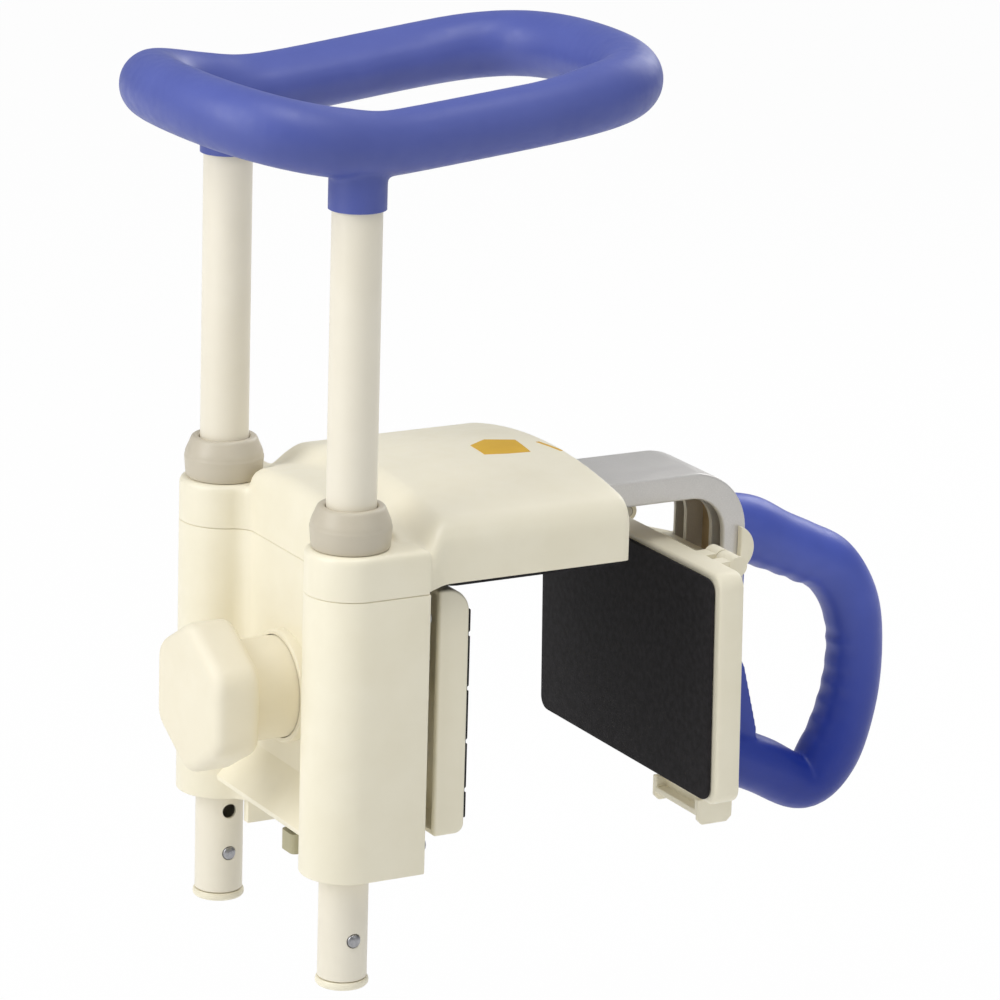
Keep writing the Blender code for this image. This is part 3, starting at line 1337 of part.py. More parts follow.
def snap_button(side):
    """Button with its flange inside the post, facing -Y."""
    inner = POST_RADIUS - POST_WALL
    flange_face = math.sqrt(inner ** 2 - BUTTON_FLANGE_RADIUS ** 2) - TOUCH_GAP
    flange_back = flange_face - BUTTON_FLANGE_THICKNESS
    profile = [
        (0, flange_back),
        (BUTTON_FLANGE_RADIUS, flange_back),
        (BUTTON_FLANGE_RADIUS, flange_face),
        (BUTTON_RADIUS, flange_face),
        (BUTTON_RADIUS, POST_RADIUS),
    ]
    for width, rise in BUTTON_DOME_STEPS:
        profile.append((BUTTON_RADIUS * width, POST_RADIUS + BUTTON_DOME * rise))
    profile.append((0, POST_RADIUS + BUTTON_DOME))
    y = side * POST_HALF_SPACING
    return turned(profile, (POST_X, y, BUTTON_Z), (POST_X, y - 1, BUTTON_Z), HOLE_SIDES)


def button_spring(side):
    """Bent leaf in the post: one leg on the far wall, the other behind the button."""
    inner = POST_RADIUS - POST_WALL
    flange_back = math.sqrt(inner ** 2 - BUTTON_FLANGE_RADIUS ** 2) - TOUCH_GAP - BUTTON_FLANGE_THICKNESS
    y = side * POST_HALF_SPACING
    near = y - flange_back + BUTTON_TRAVEL + TOUCH_GAP
    far = y + math.sqrt(inner ** 2 - LEAF_HALF_WIDTH ** 2) - TOUCH_GAP
    low = POST_BOTTOM_Z - TOUCH_GAP + CAP_PLUG_LENGTH
    high = BUTTON_Z + BUTTON_FLANGE_RADIUS
    outline = [
        (near, high),
        (near, low + TOUCH_GAP),
        (far, low + TOUCH_GAP),
        (far, high),
        (far - LEAF_THICKNESS, high),
        (far - LEAF_THICKNESS, low + LEAF_THICKNESS + TOUCH_GAP),
        (near + LEAF_THICKNESS, low + LEAF_THICKNESS + TOUCH_GAP),
        (near + LEAF_THICKNESS, high),
    ]
    return prism(outline, "YZ", (POST_X - LEAF_HALF_WIDTH, POST_X + LEAF_HALF_WIDTH))


def bezier(first, first_pull, last_pull, last, steps):
    """Points on a cubic curve between two ends, without its last point."""
    points = []
    for i in range(steps):
        t = i / steps
        share = ((1 - t) ** 3, 3 * (1 - t) ** 2 * t, 3 * (1 - t) * t ** 2, t ** 3)
        knots = (first, first_pull, last_pull, last)
        points.append(tuple(sum(s * knot[axis] for s, knot in zip(share, knots)) for axis in (0, 1)))
    return points


def grip_height(distance):
    """Height of the grip's middle line, which climbs gently inwards and more steeply outwards."""
    bend = GRIP_RISE_BLEND * math.log(1 + math.exp(-distance / GRIP_RISE_BLEND))
    return GRIP_Z + GRIP_RISE_IN * distance + (GRIP_RISE_IN + GRIP_RISE_OUT) * bend


def grip_line():
    """Closed middle line of the top grip in world places."""
    out_end = (-GRIP_REACH_OUT, 0)
    in_end = (GRIP_REACH_IN, 0)
    near = (GRIP_WIDEST_X, -GRIP_HALF_WIDTH)
    out_pull = (-GRIP_REACH_OUT, -GRIP_OUTER_END_PULL)
    out_side_pull = (GRIP_WIDEST_X - GRIP_OUTER_SIDE_PULL, -GRIP_HALF_WIDTH)
    in_side_pull = (GRIP_WIDEST_X + GRIP_INNER_SIDE_PULL, -GRIP_HALF_WIDTH)
    in_pull = (GRIP_REACH_IN, -GRIP_INNER_END_PULL)
    half = bezier(out_end, out_pull, out_side_pull, near, LOOP_STEPS)
    half += bezier(near, in_side_pull, in_pull, in_end, LOOP_STEPS + 2)
    plan = half + [in_end] + [(x, -y) for x, y in reversed(half[1:])]
    return [(at(x), y, grip_height(x)) for x, y in plan]


def grip_tube(radius):
    line = grip_line()
    return swept(line, [radius] * len(line), cyclic=True)


def top_grip_cover():
    bore = GRIP_RADIUS - GRIP_SKIN
    sleeve_bore = POST_RADIUS + TOUCH_GAP
    sleeves = [upright(s, SLEEVE_BOTTOM_Z, GRIP_Z, SLEEVE_RADIUS) for s in SIDES]
    outside = fused(grip_tube(GRIP_RADIUS), *sleeves)
    rooms = [upright(s, SLEEVE_BOTTOM_Z - CUT_MARGIN, GRIP_Z, sleeve_bore) for s in SIDES]
    return cut(outside, fused(grip_tube(bore), *rooms))


def grip_core_tube():
    """Bent tube inside the grip, opened where the posts are welded on."""
    radius = GRIP_RADIUS - GRIP_SKIN - TOUCH_GAP
    low = GRIP_Z - radius - CUT_MARGIN
    drains = [upright(s, low, GRIP_Z, CORE_HOLE_RADIUS, SMALL_SIDES) for s in SIDES]
    return cut(grip_tube(radius), grip_tube(radius - POST_WALL), *drains)


# Slide arm and what hangs on it

def arm_outline(outer_depth, inner_depth, overrun=0.0):
    """Side view of the arm between two depths under its outer face."""
    bend = (at(ARM_BEND_X), ARM_TOP_Z - ARM_BEND_RADIUS)
    start = at(ARM_INNER_END) - overrun
    bottom = ARM_BOTTOM_Z - overrun
    outer = ARM_BEND_RADIUS - outer_depth
    inner = ARM_BEND_RADIUS - inner_depth
    upper = [(start, bend[1] + outer)] + arc(bend, outer, 90, 0, 8) + [(bend[0] + outer, bottom)]
    lower = [(bend[0] + inner, bottom)] + arc(bend, inner, 0, 90, 8) + [(start, bend[1] + inner)]
    return upper + lower


def slide_arm():
    """Flat bar with stiffening ribs on its inner side, bent down into the tub."""
    half = ARM_WIDTH / 2
    middle = ARM_MIDDLE_SLOT / 2
    arm = prism(arm_outline(0, ARM_THICKNESS), "XZ", (-half, half))
    slots = [(-middle, middle)]
    for side in SIDES:
        slots.append((side * (middle + ARM_RIB), side * (half - ARM_RIB)))
    hollow = arm_outline(ARM_SKIN, ARM_THICKNESS + CUT_MARGIN, CUT_MARGIN)
    tools = [prism(hollow, "XZ", slot) for slot in slots]
    for height in HANDLE_BOLT_ZS:
        tools.append(rod(
            (ARM_LEG_X - ARM_SKIN - CUT_MARGIN, 0, height),
            (ARM_LEG_X + CUT_MARGIN, 0, height),
            HANDLE_BOLT_RADIUS + SCREW_CLEARANCE,
            HOLE_SIDES,
        ))
    return cut(arm, *tools)


def arm_end_slider():
    half = ARM_WIDTH / 2
    end = at(ARM_INNER_END) - TOUCH_GAP
    return block((end - ARM_PLUG_LENGTH, end), (-half, half), (ARM_Z, ARM_TOP_Z))


def leg_end_cap():
    top = ARM_BOTTOM_Z - TOUCH_GAP
    bottom = top - LEG_CAP_HEIGHT
    inner = ARM_LEG_X - LEG_CAP_DEPTH
    chamfer = LEG_CAP_CHAMFER
    outline = [
        (inner, top),
        (inner, bottom + chamfer),
        (inner + chamfer, bottom),
        (ARM_LEG_X - chamfer, bottom),
        (ARM_LEG_X, bottom + chamfer),
        (ARM_LEG_X, top),
    ]
    half = LEG_CAP_WIDTH / 2
    notch = block(
        (inner - CUT_MARGIN, ARM_LEG_X + CUT_MARGIN),
        (-half + LEG_CAP_EAR, half - LEG_CAP_EAR),
        (bottom - CUT_MARGIN, bottom + LEG_CAP_EAR_HEIGHT),
    )
    depth, half_pocket, height = LEG_CAP_POCKET
    pocket = block(
        (inner - CUT_MARGIN, inner + depth),
        (-half_pocket, half_pocket),
        (top - height, top + CUT_MARGIN),
    )
    return cut(prism(outline, "XZ", (-half, half)), notch, pocket)


def bracket_cheek():
    """Side view of the collar: a strap beside the leg and a round ear towards the handle."""
    radius = (BRACKET_TOP_Z - BRACKET_BOTTOM_Z) / 2
    outer = ARM_LEG_X + TOUCH_GAP + BRACKET_OUTER_WALL
    middle = (outer - radius, BRACKET_BOTTOM_Z + radius)
    low_top = BRACKET_BOTTOM_Z + YOKE_THICKNESS + 2 * BUTT_STEP
    tab_end = ARM_LEG_X - ARM_THICKNESS - YOKE_THICKNESS + BUTT_STEP
    ear = arc(middle, radius, -90, BRACKET_EAR_ANGLE, 10)
    return ear + [(ear[-1][0], low_top), (tab_end, low_top), (tab_end, BRACKET_BOTTOM_Z)]


def pad_bracket():
    """Collar round the leg, with the yoke and knuckles that turn on the hinge pins."""
    leg_room = ARM_WIDTH / 2 + TOUCH_GAP
    heights = (BRACKET_BOTTOM_Z - CUT_MARGIN, BRACKET_TOP_Z + CUT_MARGIN)
    collar = prism(bracket_cheek(), "XZ", (-BRACKET_HALF_WIDTH, BRACKET_HALF_WIDTH))
    near, far = YOKE_KNUCKLE_SPAN
    yoke_z = BRACKET_BOTTOM_Z + BUTT_STEP
    yoke_half = far - 2 * LUG_STEP
    front, tip, root = [at(x) for x in YOKE_X]
    half_plan = [(front, -yoke_half), (tip, -yoke_half), (root, -YOKE_ROOT_HALF_WIDTH)]
    plan = half_plan + [(x, -y) for x, y in reversed(half_plan)]
    yoke = prism(plan, "XY", (yoke_z, yoke_z + YOKE_THICKNESS))
    leg_span = (ARM_LEG_X - ARM_THICKNESS - TOUCH_GAP, ARM_LEG_X + TOUCH_GAP)
    leg = block(leg_span, (-leg_room, leg_room), heights)
    handle_room = HANDLE_BAR_HALF_WIDTH + TOUCH_GAP + BUTT_STEP
    gap = block((ARM_LEG_X, ARM_LEG_X + HANDLE_BAR_DEPTH), (-handle_room, handle_room), heights)
    arms = []
    holes = []
    reach = KNUCKLE_RADIUS - LUG_STEP
    for side in SIDES:
        arms.append(block(
            (at(HINGE_X) - reach, at(HINGE_X) + reach),
            (side * (near + LUG_STEP), side * (far - LUG_STEP)),
            (yoke_z + BUTT_STEP, HINGE_Z),
        ))
        ends = ((at(HINGE_X), side * near, HINGE_Z), (at(HINGE_X), side * far, HINGE_Z))
        arms.append(rod(*ends, KNUCKLE_RADIUS, SMALL_SIDES))
        holes.append(rod(
            (at(HINGE_X), side * (near - CUT_MARGIN), HINGE_Z),
            (at(HINGE_X), side * (far + CUT_MARGIN), HINGE_Z),
            HINGE_PIN_RADIUS + SCREW_CLEARANCE,
            HOLE_SIDES,
        ))
    return cut(fused(collar, yoke, *arms), leg, gap, *holes)


def hinge_pin(side):
    start, end = HINGE_PIN_SPAN
    ends = ((at(HINGE_X), side * start, HINGE_Z), (at(HINGE_X), side * end, HINGE_Z))
    return rod(*ends, HINGE_PIN_RADIUS, HOLE_SIDES)


def tilted(shape):
    """Lean the inner pad about its hinge, its foot towards the leg."""
    hinge = Vector((at(HINGE_X), 0, HINGE_Z))
    turn = Matrix.Rotation(-INNER_PAD_TILT, 4, "Y")
    bmesh.ops.transform(
        shape,
        matrix=Matrix.Translation(hinge) @ turn @ Matrix.Translation(-hinge),
        verts=shape.verts,
    )
    return shape


def inner_pad_frame():
    face = at(HINGE_X) - INNER_FACE_OFFSET + INNER_RUBBER_THICKNESS + TOUCH_GAP
    back = face + INNER_FRAME_DEPTH
    half = INNER_FRAME_HALF_WIDTH
    low, high = INNER_FRAME_BOTTOM_Z, INNER_FRAME_TOP_Z
    wall = INNER_FRAME_WALL
    shell = prism(round_rectangle((-half, low), (half, high), INNER_CORNER_RADIUS), "YZ", (face, back))
    room = prism(
        round_rectangle((-half + wall, low + wall), (half - wall, high - wall), INNER_CORNER_RADIUS - wall),
        "YZ",
        (face + wall, back + CUT_MARGIN),
    )
    shell = cut(shell, room)
    lugs = []
    holes = []
    for side in SIDES:
        for near, far in KNUCKLE_SPANS:
            span = (side * near, side * far)
            lugs.append(block(
                (face + wall / 2, at(HINGE_X)),
                (side * (near + LUG_STEP), side * (far - LUG_STEP)),
                (HINGE_Z - KNUCKLE_RADIUS + BUTT_STEP, high - LUG_STEP),
            ))
            lugs.append(rod(
                (at(HINGE_X), span[0], HINGE_Z),
                (at(HINGE_X), span[1], HINGE_Z),
                KNUCKLE_RADIUS,
                SMALL_SIDES,
            ))
        holes.append(rod(
            (at(HINGE_X), side * (KNUCKLE_SPANS[0][0] - CUT_MARGIN), HINGE_Z),
            (at(HINGE_X), side * (HINGE_PIN_SPAN[1] + TOUCH_GAP), HINGE_Z),
            HINGE_PIN_RADIUS + SCREW_CLEARANCE,
            HOLE_SIDES,
        ))
    return tilted(cut(fused(shell, *lugs), *holes))


def inner_pad_rubber():
    face = at(HINGE_X) - INNER_FACE_OFFSET
    half = INNER_RUBBER_HALF_WIDTH
    low, high = (-half, INNER_RUBBER_BOTTOM_Z), (half, INNER_RUBBER_TOP_Z)
    outline = round_rectangle(low, high, INNER_CORNER_RADIUS - BUTT_STEP)
    return tilted(prism(outline, "YZ", (face, face + INNER_RUBBER_THICKNESS)))


# Side handle

def handle_line():
    """Smooth line through the handle's route, as world places and radii."""
    route = HANDLE_ROUTE
    points = []
    for index in range(len(route) - 1):
        before = route[max(index - 1, 0)]
        here, there = route[index], route[index + 1]
        after = route[min(index + 2, len(route) - 1)]
        for step in range(HANDLE_STEPS):
            t = step / HANDLE_STEPS
            share = (
                (-t + 2 * t ** 2 - t ** 3) / 2,
                (2 - 5 * t ** 2 + 3 * t ** 3) / 2,
                (t + 4 * t ** 2 - 3 * t ** 3) / 2,
                (-t ** 2 + t ** 3) / 2,
            )
            knots = (before, here, there, after)
            points.append([sum(s * knot[i] for s, knot in zip(share, knots)) for i in range(3)])
    points.append(list(route[-1]))
    return [(at(x), 0, z) for x, z, _ in points], [radius for _, _, radius in points]


def handle_core(radius):
    line, radii = handle_line()
    return swept(line, [radius] * len(radii))


def handle_back_x():
    return ARM_LEG_X + 2 * TOUCH_GAP + HANDLE_PLATE_THICKNESS


def behind_handle(limit):
    """Everything on the leg's side of a plane, for cutting the handle flat."""
    heights = (ARM_BOTTOM_Z - ARM_WIDTH, ARM_TOP_Z + ARM_WIDTH)
    return block((at(ARM_BEND_X), limit), (-ARM_WIDTH, ARM_WIDTH), heights)


def side_handle_cover():
    line, radii = handle_line()
    back = handle_back_x()
    half = HANDLE_BAR_HALF_WIDTH
    bar = prism(
        round_rectangle((back, -half), (back + HANDLE_BAR_DEPTH, half), HANDLE_BAR_CORNER),
        "XY",
        (HANDLE_BAR_BOTTOM_Z, HANDLE_BAR_TOP_Z),
    )
    half = HANDLE_GUSSET_HALF_WIDTH
    gusset = prism([(at(x), z) for x, z in HANDLE_GUSSET], "XZ", (-half, half))
    body = fused(swept(line, radii), bar, gusset)
    return cut(body, behind_handle(back), handle_core(HANDLE_CORE_RADIUS + TOUCH_GAP))


def side_handle_frame():
    """Bent rod and its foot plate, which the handle is moulded over."""
    front = ARM_LEG_X + TOUCH_GAP
    half = HANDLE_BAR_HALF_WIDTH - BUTT_STEP
    margin = HANDLE_PLATE_MARGIN
    plate = block(
        (front, front + HANDLE_PLATE_THICKNESS),
        (-half, half),
        (HANDLE_BAR_BOTTOM_Z + margin, HANDLE_BAR_TOP_Z - margin),
    )
    core = cut(handle_core(HANDLE_CORE_RADIUS), behind_handle(front + HANDLE_PLATE_THICKNESS / 2))
    holes = []
    for height in HANDLE_BOLT_ZS:
        holes.append(rod(
            (ARM_LEG_X, 0, height),
            (front + HANDLE_PLATE_THICKNESS + CUT_MARGIN, 0, height),
            HANDLE_BOLT_RADIUS + SCREW_CLEARANCE,
            HOLE_SIDES,
        ))
    return cut(fused(plate, core), *holes)


# Assembly

def add_frame(parts):
    parts.body("tub_frame", (0, 0, 0))
    parts.piece("main_housing", main_housing(), "cream_plastic", "tub_frame")
    parts.piece("rear_cover_plate", rear_cover_plate(), "cream_plastic", "tub_frame")
    parts.piece("top_cover", top_cover(), "cream_plastic", "tub_frame")
    parts.piece("base_plate", base_plate(), "steel", "tub_frame")
    parts.piece("rim_seat_pad", rim_seat_pad(), "black_rubber", "tub_frame")
    parts.piece("arm_guide_tube", arm_guide_tube(), "steel", "tub_frame")
    parts.piece("arm_clamp_shoe", arm_clamp_shoe(), "nylon", "tub_frame")
    parts.piece("spindle_nut", spindle_nut(), "steel", "tub_frame")
    parts.piece("lock_spring", lock_spring(), "steel", "tub_frame")
    number = 0
    for side, name in zip(SIDES, SIDE_NAMES):
        parts.piece(name + "_post_collet", post_collet(side), "nylon", "tub_frame")
        parts.piece(name + "_lower_bush", lower_bush(side), "nylon", "tub_frame")
        parts.piece(name + "_rod_bush", rod_bush(side), "nylon", "tub_frame")
        parts.piece(name + "_frame_screw", frame_screw(side), "steel", "tub_frame")
        parts.piece(name + "_cover_screw", cover_screw(side), "steel", "tub_frame")
        for height in REAR_SCREW_ZS:
            number += 1
            parts.piece(f"rear_cover_screw_{number}", rear_screw(side, height), "steel", "tub_frame")
    parts.piece("outer_setting_bolt", setting_bolt(-1), "steel", "tub_frame")
    parts.piece("inner_setting_bolt", setting_bolt(1), "steel", "tub_frame")


def add_lock(parts):
    parts.body("plunger_slide", (at(CAM_X[0]), 0, PLUNGER_BOTTOM_Z), "tub_frame")
    parts.piece("release_plunger", release_plunger(), "collar_plastic", "plunger_slide")
    for side, name in zip(SIDES, SIDE_NAMES):
        slider = lock_slider()
        if side > 0:
            slider = mirrored(slider)
        parts.body(name + "_lock_slide", (POST_X, side * POST_INNER_Y, LOCK_Z), "tub_frame")
        parts.piece(name + "_lock_slider", slider, "steel", name + "_lock_slide")
        parts.body(name + "_ring_axis", (POST_X, side * POST_HALF_SPACING, SHOULDER_Z), "tub_frame")
        parts.piece(name + "_lock_ring", lock_ring(side), "collar_plastic", name + "_ring_axis")


def add_grip(parts):
    parts.body("grip_slide", (POST_X, 0, 0), "tub_frame")
    parts.piece("top_grip_cover", top_grip_cover(), "blue_grip", "grip_slide")
    parts.piece("grip_core_tube", grip_core_tube(), "steel", "grip_slide")
    for side, name in zip(SIDES, SIDE_NAMES):
        parts.piece(name + "_post", post(side), "cream_paint", "grip_slide")
        parts.piece(name + "_foot_cap", foot_cap(side), "cream_plastic", "grip_slide")
        parts.piece(name + "_button_spring", button_spring(side), "steel", "grip_slide")
        button_axis = (POST_X, side * POST_HALF_SPACING, BUTTON_Z)
        parts.body(name + "_button_slide", button_axis, "grip_slide")
        parts.piece(name + "_snap_button", snap_button(side), "collar_plastic", name + "_button_slide")


def add_clamp(parts):
    parts.body("clamp_slide", clamp_point(HOLDER_BACK), "tub_frame")
    parts.piece("outer_pad_holder", outer_pad_holder(), "cream_plastic", "clamp_slide")
    parts.piece("outer_pad_rubber", outer_pad_rubber(), "black_rubber", "clamp_slide")
    parts.piece("thrust_washer", thrust_washer(), "nylon", "clamp_slide")
    for side, name in zip(SIDES, SIDE_NAMES):
        parts.piece(name + "_guide_rod", guide_rod(side), "steel", "clamp_slide")
    parts.body("knob_axis", clamp_point(KNOB_BACK), "clamp_slide")
    parts.piece("clamp_knob", clamp_knob(), "cream_plastic", "knob_axis")
    parts.piece("clamp_spindle", clamp_spindle(), "steel", "knob_axis")


def add_arm(parts):
    parts.body("arm_slide", (at(ARM_INNER_END), 0, ARM_Z), "tub_frame")
    parts.piece("slide_arm", slide_arm(), "silver_paint", "arm_slide")
    parts.piece("arm_end_slider", arm_end_slider(), "nylon", "arm_slide")
    parts.piece("leg_end_cap", leg_end_cap(), "collar_plastic", "arm_slide")
    parts.piece("pad_bracket", pad_bracket(), "cream_plastic", "arm_slide")
    for side, name in zip(SIDES, SIDE_NAMES):
        parts.piece(name + "_hinge_pin", hinge_pin(side), "nylon", "arm_slide")
    parts.piece("side_handle_cover", side_handle_cover(), "blue_handle", "arm_slide")
    parts.piece("side_handle_frame", side_handle_frame(), "steel", "arm_slide")
    parts.piece("upper_handle_bolt", handle_bolt(max(HANDLE_BOLT_ZS)), "steel", "arm_slide")
    parts.piece("lower_handle_bolt", handle_bolt(min(HANDLE_BOLT_ZS)), "steel", "arm_slide")
    parts.body("pad_hinge", (at(HINGE_X), 0, HINGE_Z), "arm_slide")
    parts.piece("inner_pad_frame", inner_pad_frame(), "cream_plastic", "pad_hinge")
    parts.piece("inner_pad_rubber", inner_pad_rubber(), "black_rubber", "pad_hinge")


def build():
    clear_scene()
    parts = Assembly()
    add_frame(parts)
    add_lock(parts)
    add_grip(parts)
    add_clamp(parts)
    add_arm(parts)


build()
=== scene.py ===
"""The look of the bathtub grab bar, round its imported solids.

Shapes are drawn in millimetres from the axis of the two posts: X towards the tub, Y along the
rim, Z up from the face that rests on the rim. piece() carries a finished shape to metres.
"""

import json
import math

import bmesh
import bpy
from mathutils import Matrix, Vector


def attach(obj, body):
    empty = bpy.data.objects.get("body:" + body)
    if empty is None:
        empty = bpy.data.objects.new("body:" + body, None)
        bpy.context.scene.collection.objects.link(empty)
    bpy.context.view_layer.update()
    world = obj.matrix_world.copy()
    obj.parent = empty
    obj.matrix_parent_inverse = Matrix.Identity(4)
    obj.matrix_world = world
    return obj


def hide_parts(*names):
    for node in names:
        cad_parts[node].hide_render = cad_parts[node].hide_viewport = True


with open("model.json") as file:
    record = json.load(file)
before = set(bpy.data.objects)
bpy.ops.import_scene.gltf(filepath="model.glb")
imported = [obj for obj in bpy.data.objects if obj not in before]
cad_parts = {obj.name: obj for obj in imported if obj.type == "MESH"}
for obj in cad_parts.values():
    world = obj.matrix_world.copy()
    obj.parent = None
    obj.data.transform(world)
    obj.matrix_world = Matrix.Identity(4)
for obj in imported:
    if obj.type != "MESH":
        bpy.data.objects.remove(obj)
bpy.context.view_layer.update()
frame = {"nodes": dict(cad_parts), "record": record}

POST_AXIS = -0.110
MM = 0.001
SIDES = (-1, 1)
SIDE_NAMES = ("front", "back")

CAMERA_AZIMUTH = -29.3528
CAMERA_ELEVATION = 15.8001
CAMERA_ROLL = 1.6553
CAMERA_PLACE = (2600, 108.925, 30.009)
FOCAL_PIXELS = 5094.12
PHOTO_PIXELS = 1000
SENSOR_WIDTH = 36
FLOOR_HEIGHT = -0.335
BACKDROP_SHARE = 0.97
WORLD_STRENGTH = 0.37
LAMPS = (
    ("key", -94, 34, 2.2, 1.5, 21),
    ("low", -84, 8, 2.2, 1.2, 6),
    ("fill", 20, 25, 2.6, 1.6, 4.5),
    ("top", -10, 75, 2.2, 1.4, 21),
    ("rim", 118, 28, 2.2, 1.2, 14),
)

POST_Y = 72.0
POST_RADIUS = 12.7
POST_BORE = 11.1
POST_BOTTOM = -204.3
POST_TOP = 211.9
HOLE_PITCH = 23.5
HOLE_COUNT = 6
HOLE_RADIUS = 4.0
LOCK_HEIGHT = -135.2
BUTTON_HEIGHT = -182.2
BUTTON_HOLE = 3.9
BUTTON_RADIUS = 3.6
BUTTON_FLANGE = 5.2
BUTTON_SHOULDER = 12.5
BUTTON_DOME = 1.6

GRIP_RADIUS = 17.23
GRIP_BORE = 13.03
GRIP_FLAT = 3.0
GRIP_OUT_END = -61.0
GRIP_IN_END = 174.6
GRIP_SIDE = (29.3, -73.64)
GRIP_HEIGHT = 224.95
GRIP_SLOPE = 0.112
GRIP_RISE = 0.348
GRIP_RISE_BEND = 10.6
SLEEVE_RADIUS = 14.65
SLEEVE_BOTTOM = 194.8
SLEEVE_TOP = 226

COLUMN_RADIUS = 23.2
COLUMN_EDGE = 95.2
HOUSING_REAR = 34.0
HOUSING_HEIGHT = 148.0
WEB_FACE = 2.0
WEB_FILLET = 11.0
WALL = 3.0
SLEEVE_WALL = 17.9
POST_ROOM = 14.9
POST_EXIT = 13.4
RING_SEAT = 20.2
SEAT_BOTTOM = -8
SCREW_HOLE = 1.8
REAR_SCREW_HEIGHTS = (-14, -134)
SCOOP_HALF_WIDTH = 53
SCOOP_LIP = (-11.5, -134.5)

SHOULDER_TOP = 22.8
COVER_REACH = 153.6
COVER_WALL = 2.5
COVER_CORNER = 14
COVER_REAR_ROUND = 9
COVER_END_ROUND = 3
COVER_BLEND = (31, 49)
COVER_SCREW = (128, 68)
OVER_COVER = 60

KNOB_HEIGHT = -71.0
KNOB_CORNER_REACH = 26.5
KNOB_CORNER_ROUND = 13
KNOB_EDGE_ROUND = 6
KNOB_NECK_RADIUS = 26.5
ROD_Y = 36

HINGE = (229.0, -16.0)
HINGE_BARREL = 5.5
HINGE_HOLE = 3.3
PAD_TILT = 1.1

ARM_TOP = 23.3
ARM_THICKNESS = 14.0
ARM_HALF_WIDTH = 26
ARM_SKIN = 4
ARM_CHANNELS = ((-11.5, 11.5), (14.5, 23), (-23, -14.5))
ARM_BEND = (226.5, -10.7)
ARM_BEND_RADIUS = 34
ARM_START = 95
LEG_FACE = 260.5
LEG_BOTTOM = -160.3
HANDLE_BOLT_HEIGHTS = (-60, -115)

HANDLE_ROUTE = (
    (260.0, -13.0, 16.0), (277.0, -19.0, 18.3), (295.3, -27.9, 17.2), (313.1, -36.2, 16.9),
    (331.5, -46.3, 16.5), (345.2, -67.1, 16.0), (349.6, -92.5, 15.8), (347.0, -123.7, 16.4),
    (336.1, -153.9, 17.1), (319.4, -168.3, 15.2), (290.8, -154.5, 15.6), (260.0, -140.5, 15.5),
)
HANDLE_BACK = 264.1
HANDLE_CORE = 8.0
GROOVE_PITCH = 13.2
GROOVE_DEPTH = 1.5
GROOVES_START = 21


# Shape helpers

def box(low, high):
    shape = bmesh.new()
    bmesh.ops.create_cube(shape, size=1.0)
    size = [b - a for a, b in zip(low, high)]
    middle = [(a + b) / 2 for a, b in zip(low, high)]
    bmesh.ops.scale(shape, vec=size, verts=shape.verts)
    bmesh.ops.translate(shape, vec=middle, verts=shape.verts)
    return shape


def axis_matrix(start, end):
    direction = Vector(end) - Vector(start)
    turn = direction.to_track_quat("Z", "Y").to_matrix().to_4x4()
    return Matrix.Translation(Vector(start)) @ turn


def bar(start, end, radius, steps=48):
    length = (Vector(end) - Vector(start)).length
    shape = bmesh.new()
    bmesh.ops.create_cone(shape, cap_ends=True, segments=steps, radius1=radius, radius2=radius, depth=length)
    bmesh.ops.translate(shape, vec=(0, 0, length / 2), verts=shape.verts)
    bmesh.ops.transform(shape, matrix=axis_matrix(start, end), verts=shape.verts)
    return shape


def post_bars(low, high, radius):
    """Bars on the axes of both posts."""
    return [bar((0, s * POST_Y, low), (0, s * POST_Y, high), radius) for s in SIDES]


def span(side, near, far):
    """Two distances from the middle as places on one side of it, the lower one first."""
    return min(side * near, side * far), max(side * near, side * far)


def tidy_faces(shape):
    bmesh.ops.remove_doubles(shape, verts=shape.verts, dist=0.0005)
    bmesh.ops.recalc_face_normals(shape, faces=shape.faces)
    return shape


def revolved(profile, start, end, steps=64):
    """Spin (radius, height) points round the line from start towards end."""
    shape = bmesh.new()
    corners = [shape.verts.new((radius, 0, height)) for radius, height in profile]
    rim = [
        shape.edges.new((corners[i - 1], corners[i]))
        for i in range(len(corners))
        if profile[i - 1][0] + profile[i][0] > 0
    ]
    bmesh.ops.spin(shape, geom=corners + rim, axis=(0, 0, 1), cent=(0, 0, 0), angle=math.tau,
                   steps=steps, use_merge=True, use_duplicate=False)
    bmesh.ops.transform(shape, matrix=axis_matrix(start, end), verts=shape.verts)
    return tidy_faces(shape)


def round_post(side, profile, steps=64):
    return revolved(profile, (0, side * POST_Y, 0), (0, side * POST_Y, 1), steps)


def prism(outline, plane, low, high):
    """Extrude a flat outline in the XY, XZ or YZ plane between two places on the third axis."""
    shape = bmesh.new()
    place = {"XY": lambda a, b: (a, b, low), "XZ": lambda a, b: (a, low, b), "YZ": lambda a, b: (low, a, b)}
    step = {"XY": (0, 0, high - low), "XZ": (0, high - low, 0), "YZ": (high - low, 0, 0)}
    face = shape.faces.new([shape.verts.new(place[plane](a, b)) for a, b in outline])
    grown = bmesh.ops.extrude_face_region(shape, geom=[face])["geom"]
    moved = [item for item in grown if isinstance(item, bmesh.types.BMVert)]
    bmesh.ops.translate(shape, vec=step[plane], verts=moved)
    return tidy_faces(shape)


def ring_edges(ring):
    """The edges between the corners of a ring, each once and in the same order on each run."""
    members = set(ring)
    edges = [edge for corner in ring for edge in corner.link_edges if edge.other_vert(corner) in members]
    return list(dict.fromkeys(edges))


def lofted(sections):
    """Skin through loops of points that have as many points each, with both ends closed."""
    shape = bmesh.new()
    loops = []
    for section in sections:
        corners = [shape.verts.new(point) for point in section]
        loops.append([shape.edges.new((corners[i - 1], corners[i])) for i in range(len(corners))])
    for before, after in zip(loops, loops[1:]):
        bmesh.ops.bridge_loops(shape, edges=before + after)
    bmesh.ops.holes_fill(shape, edges=loops[0] + loops[-1], sides=0)
    return tidy_faces(shape)


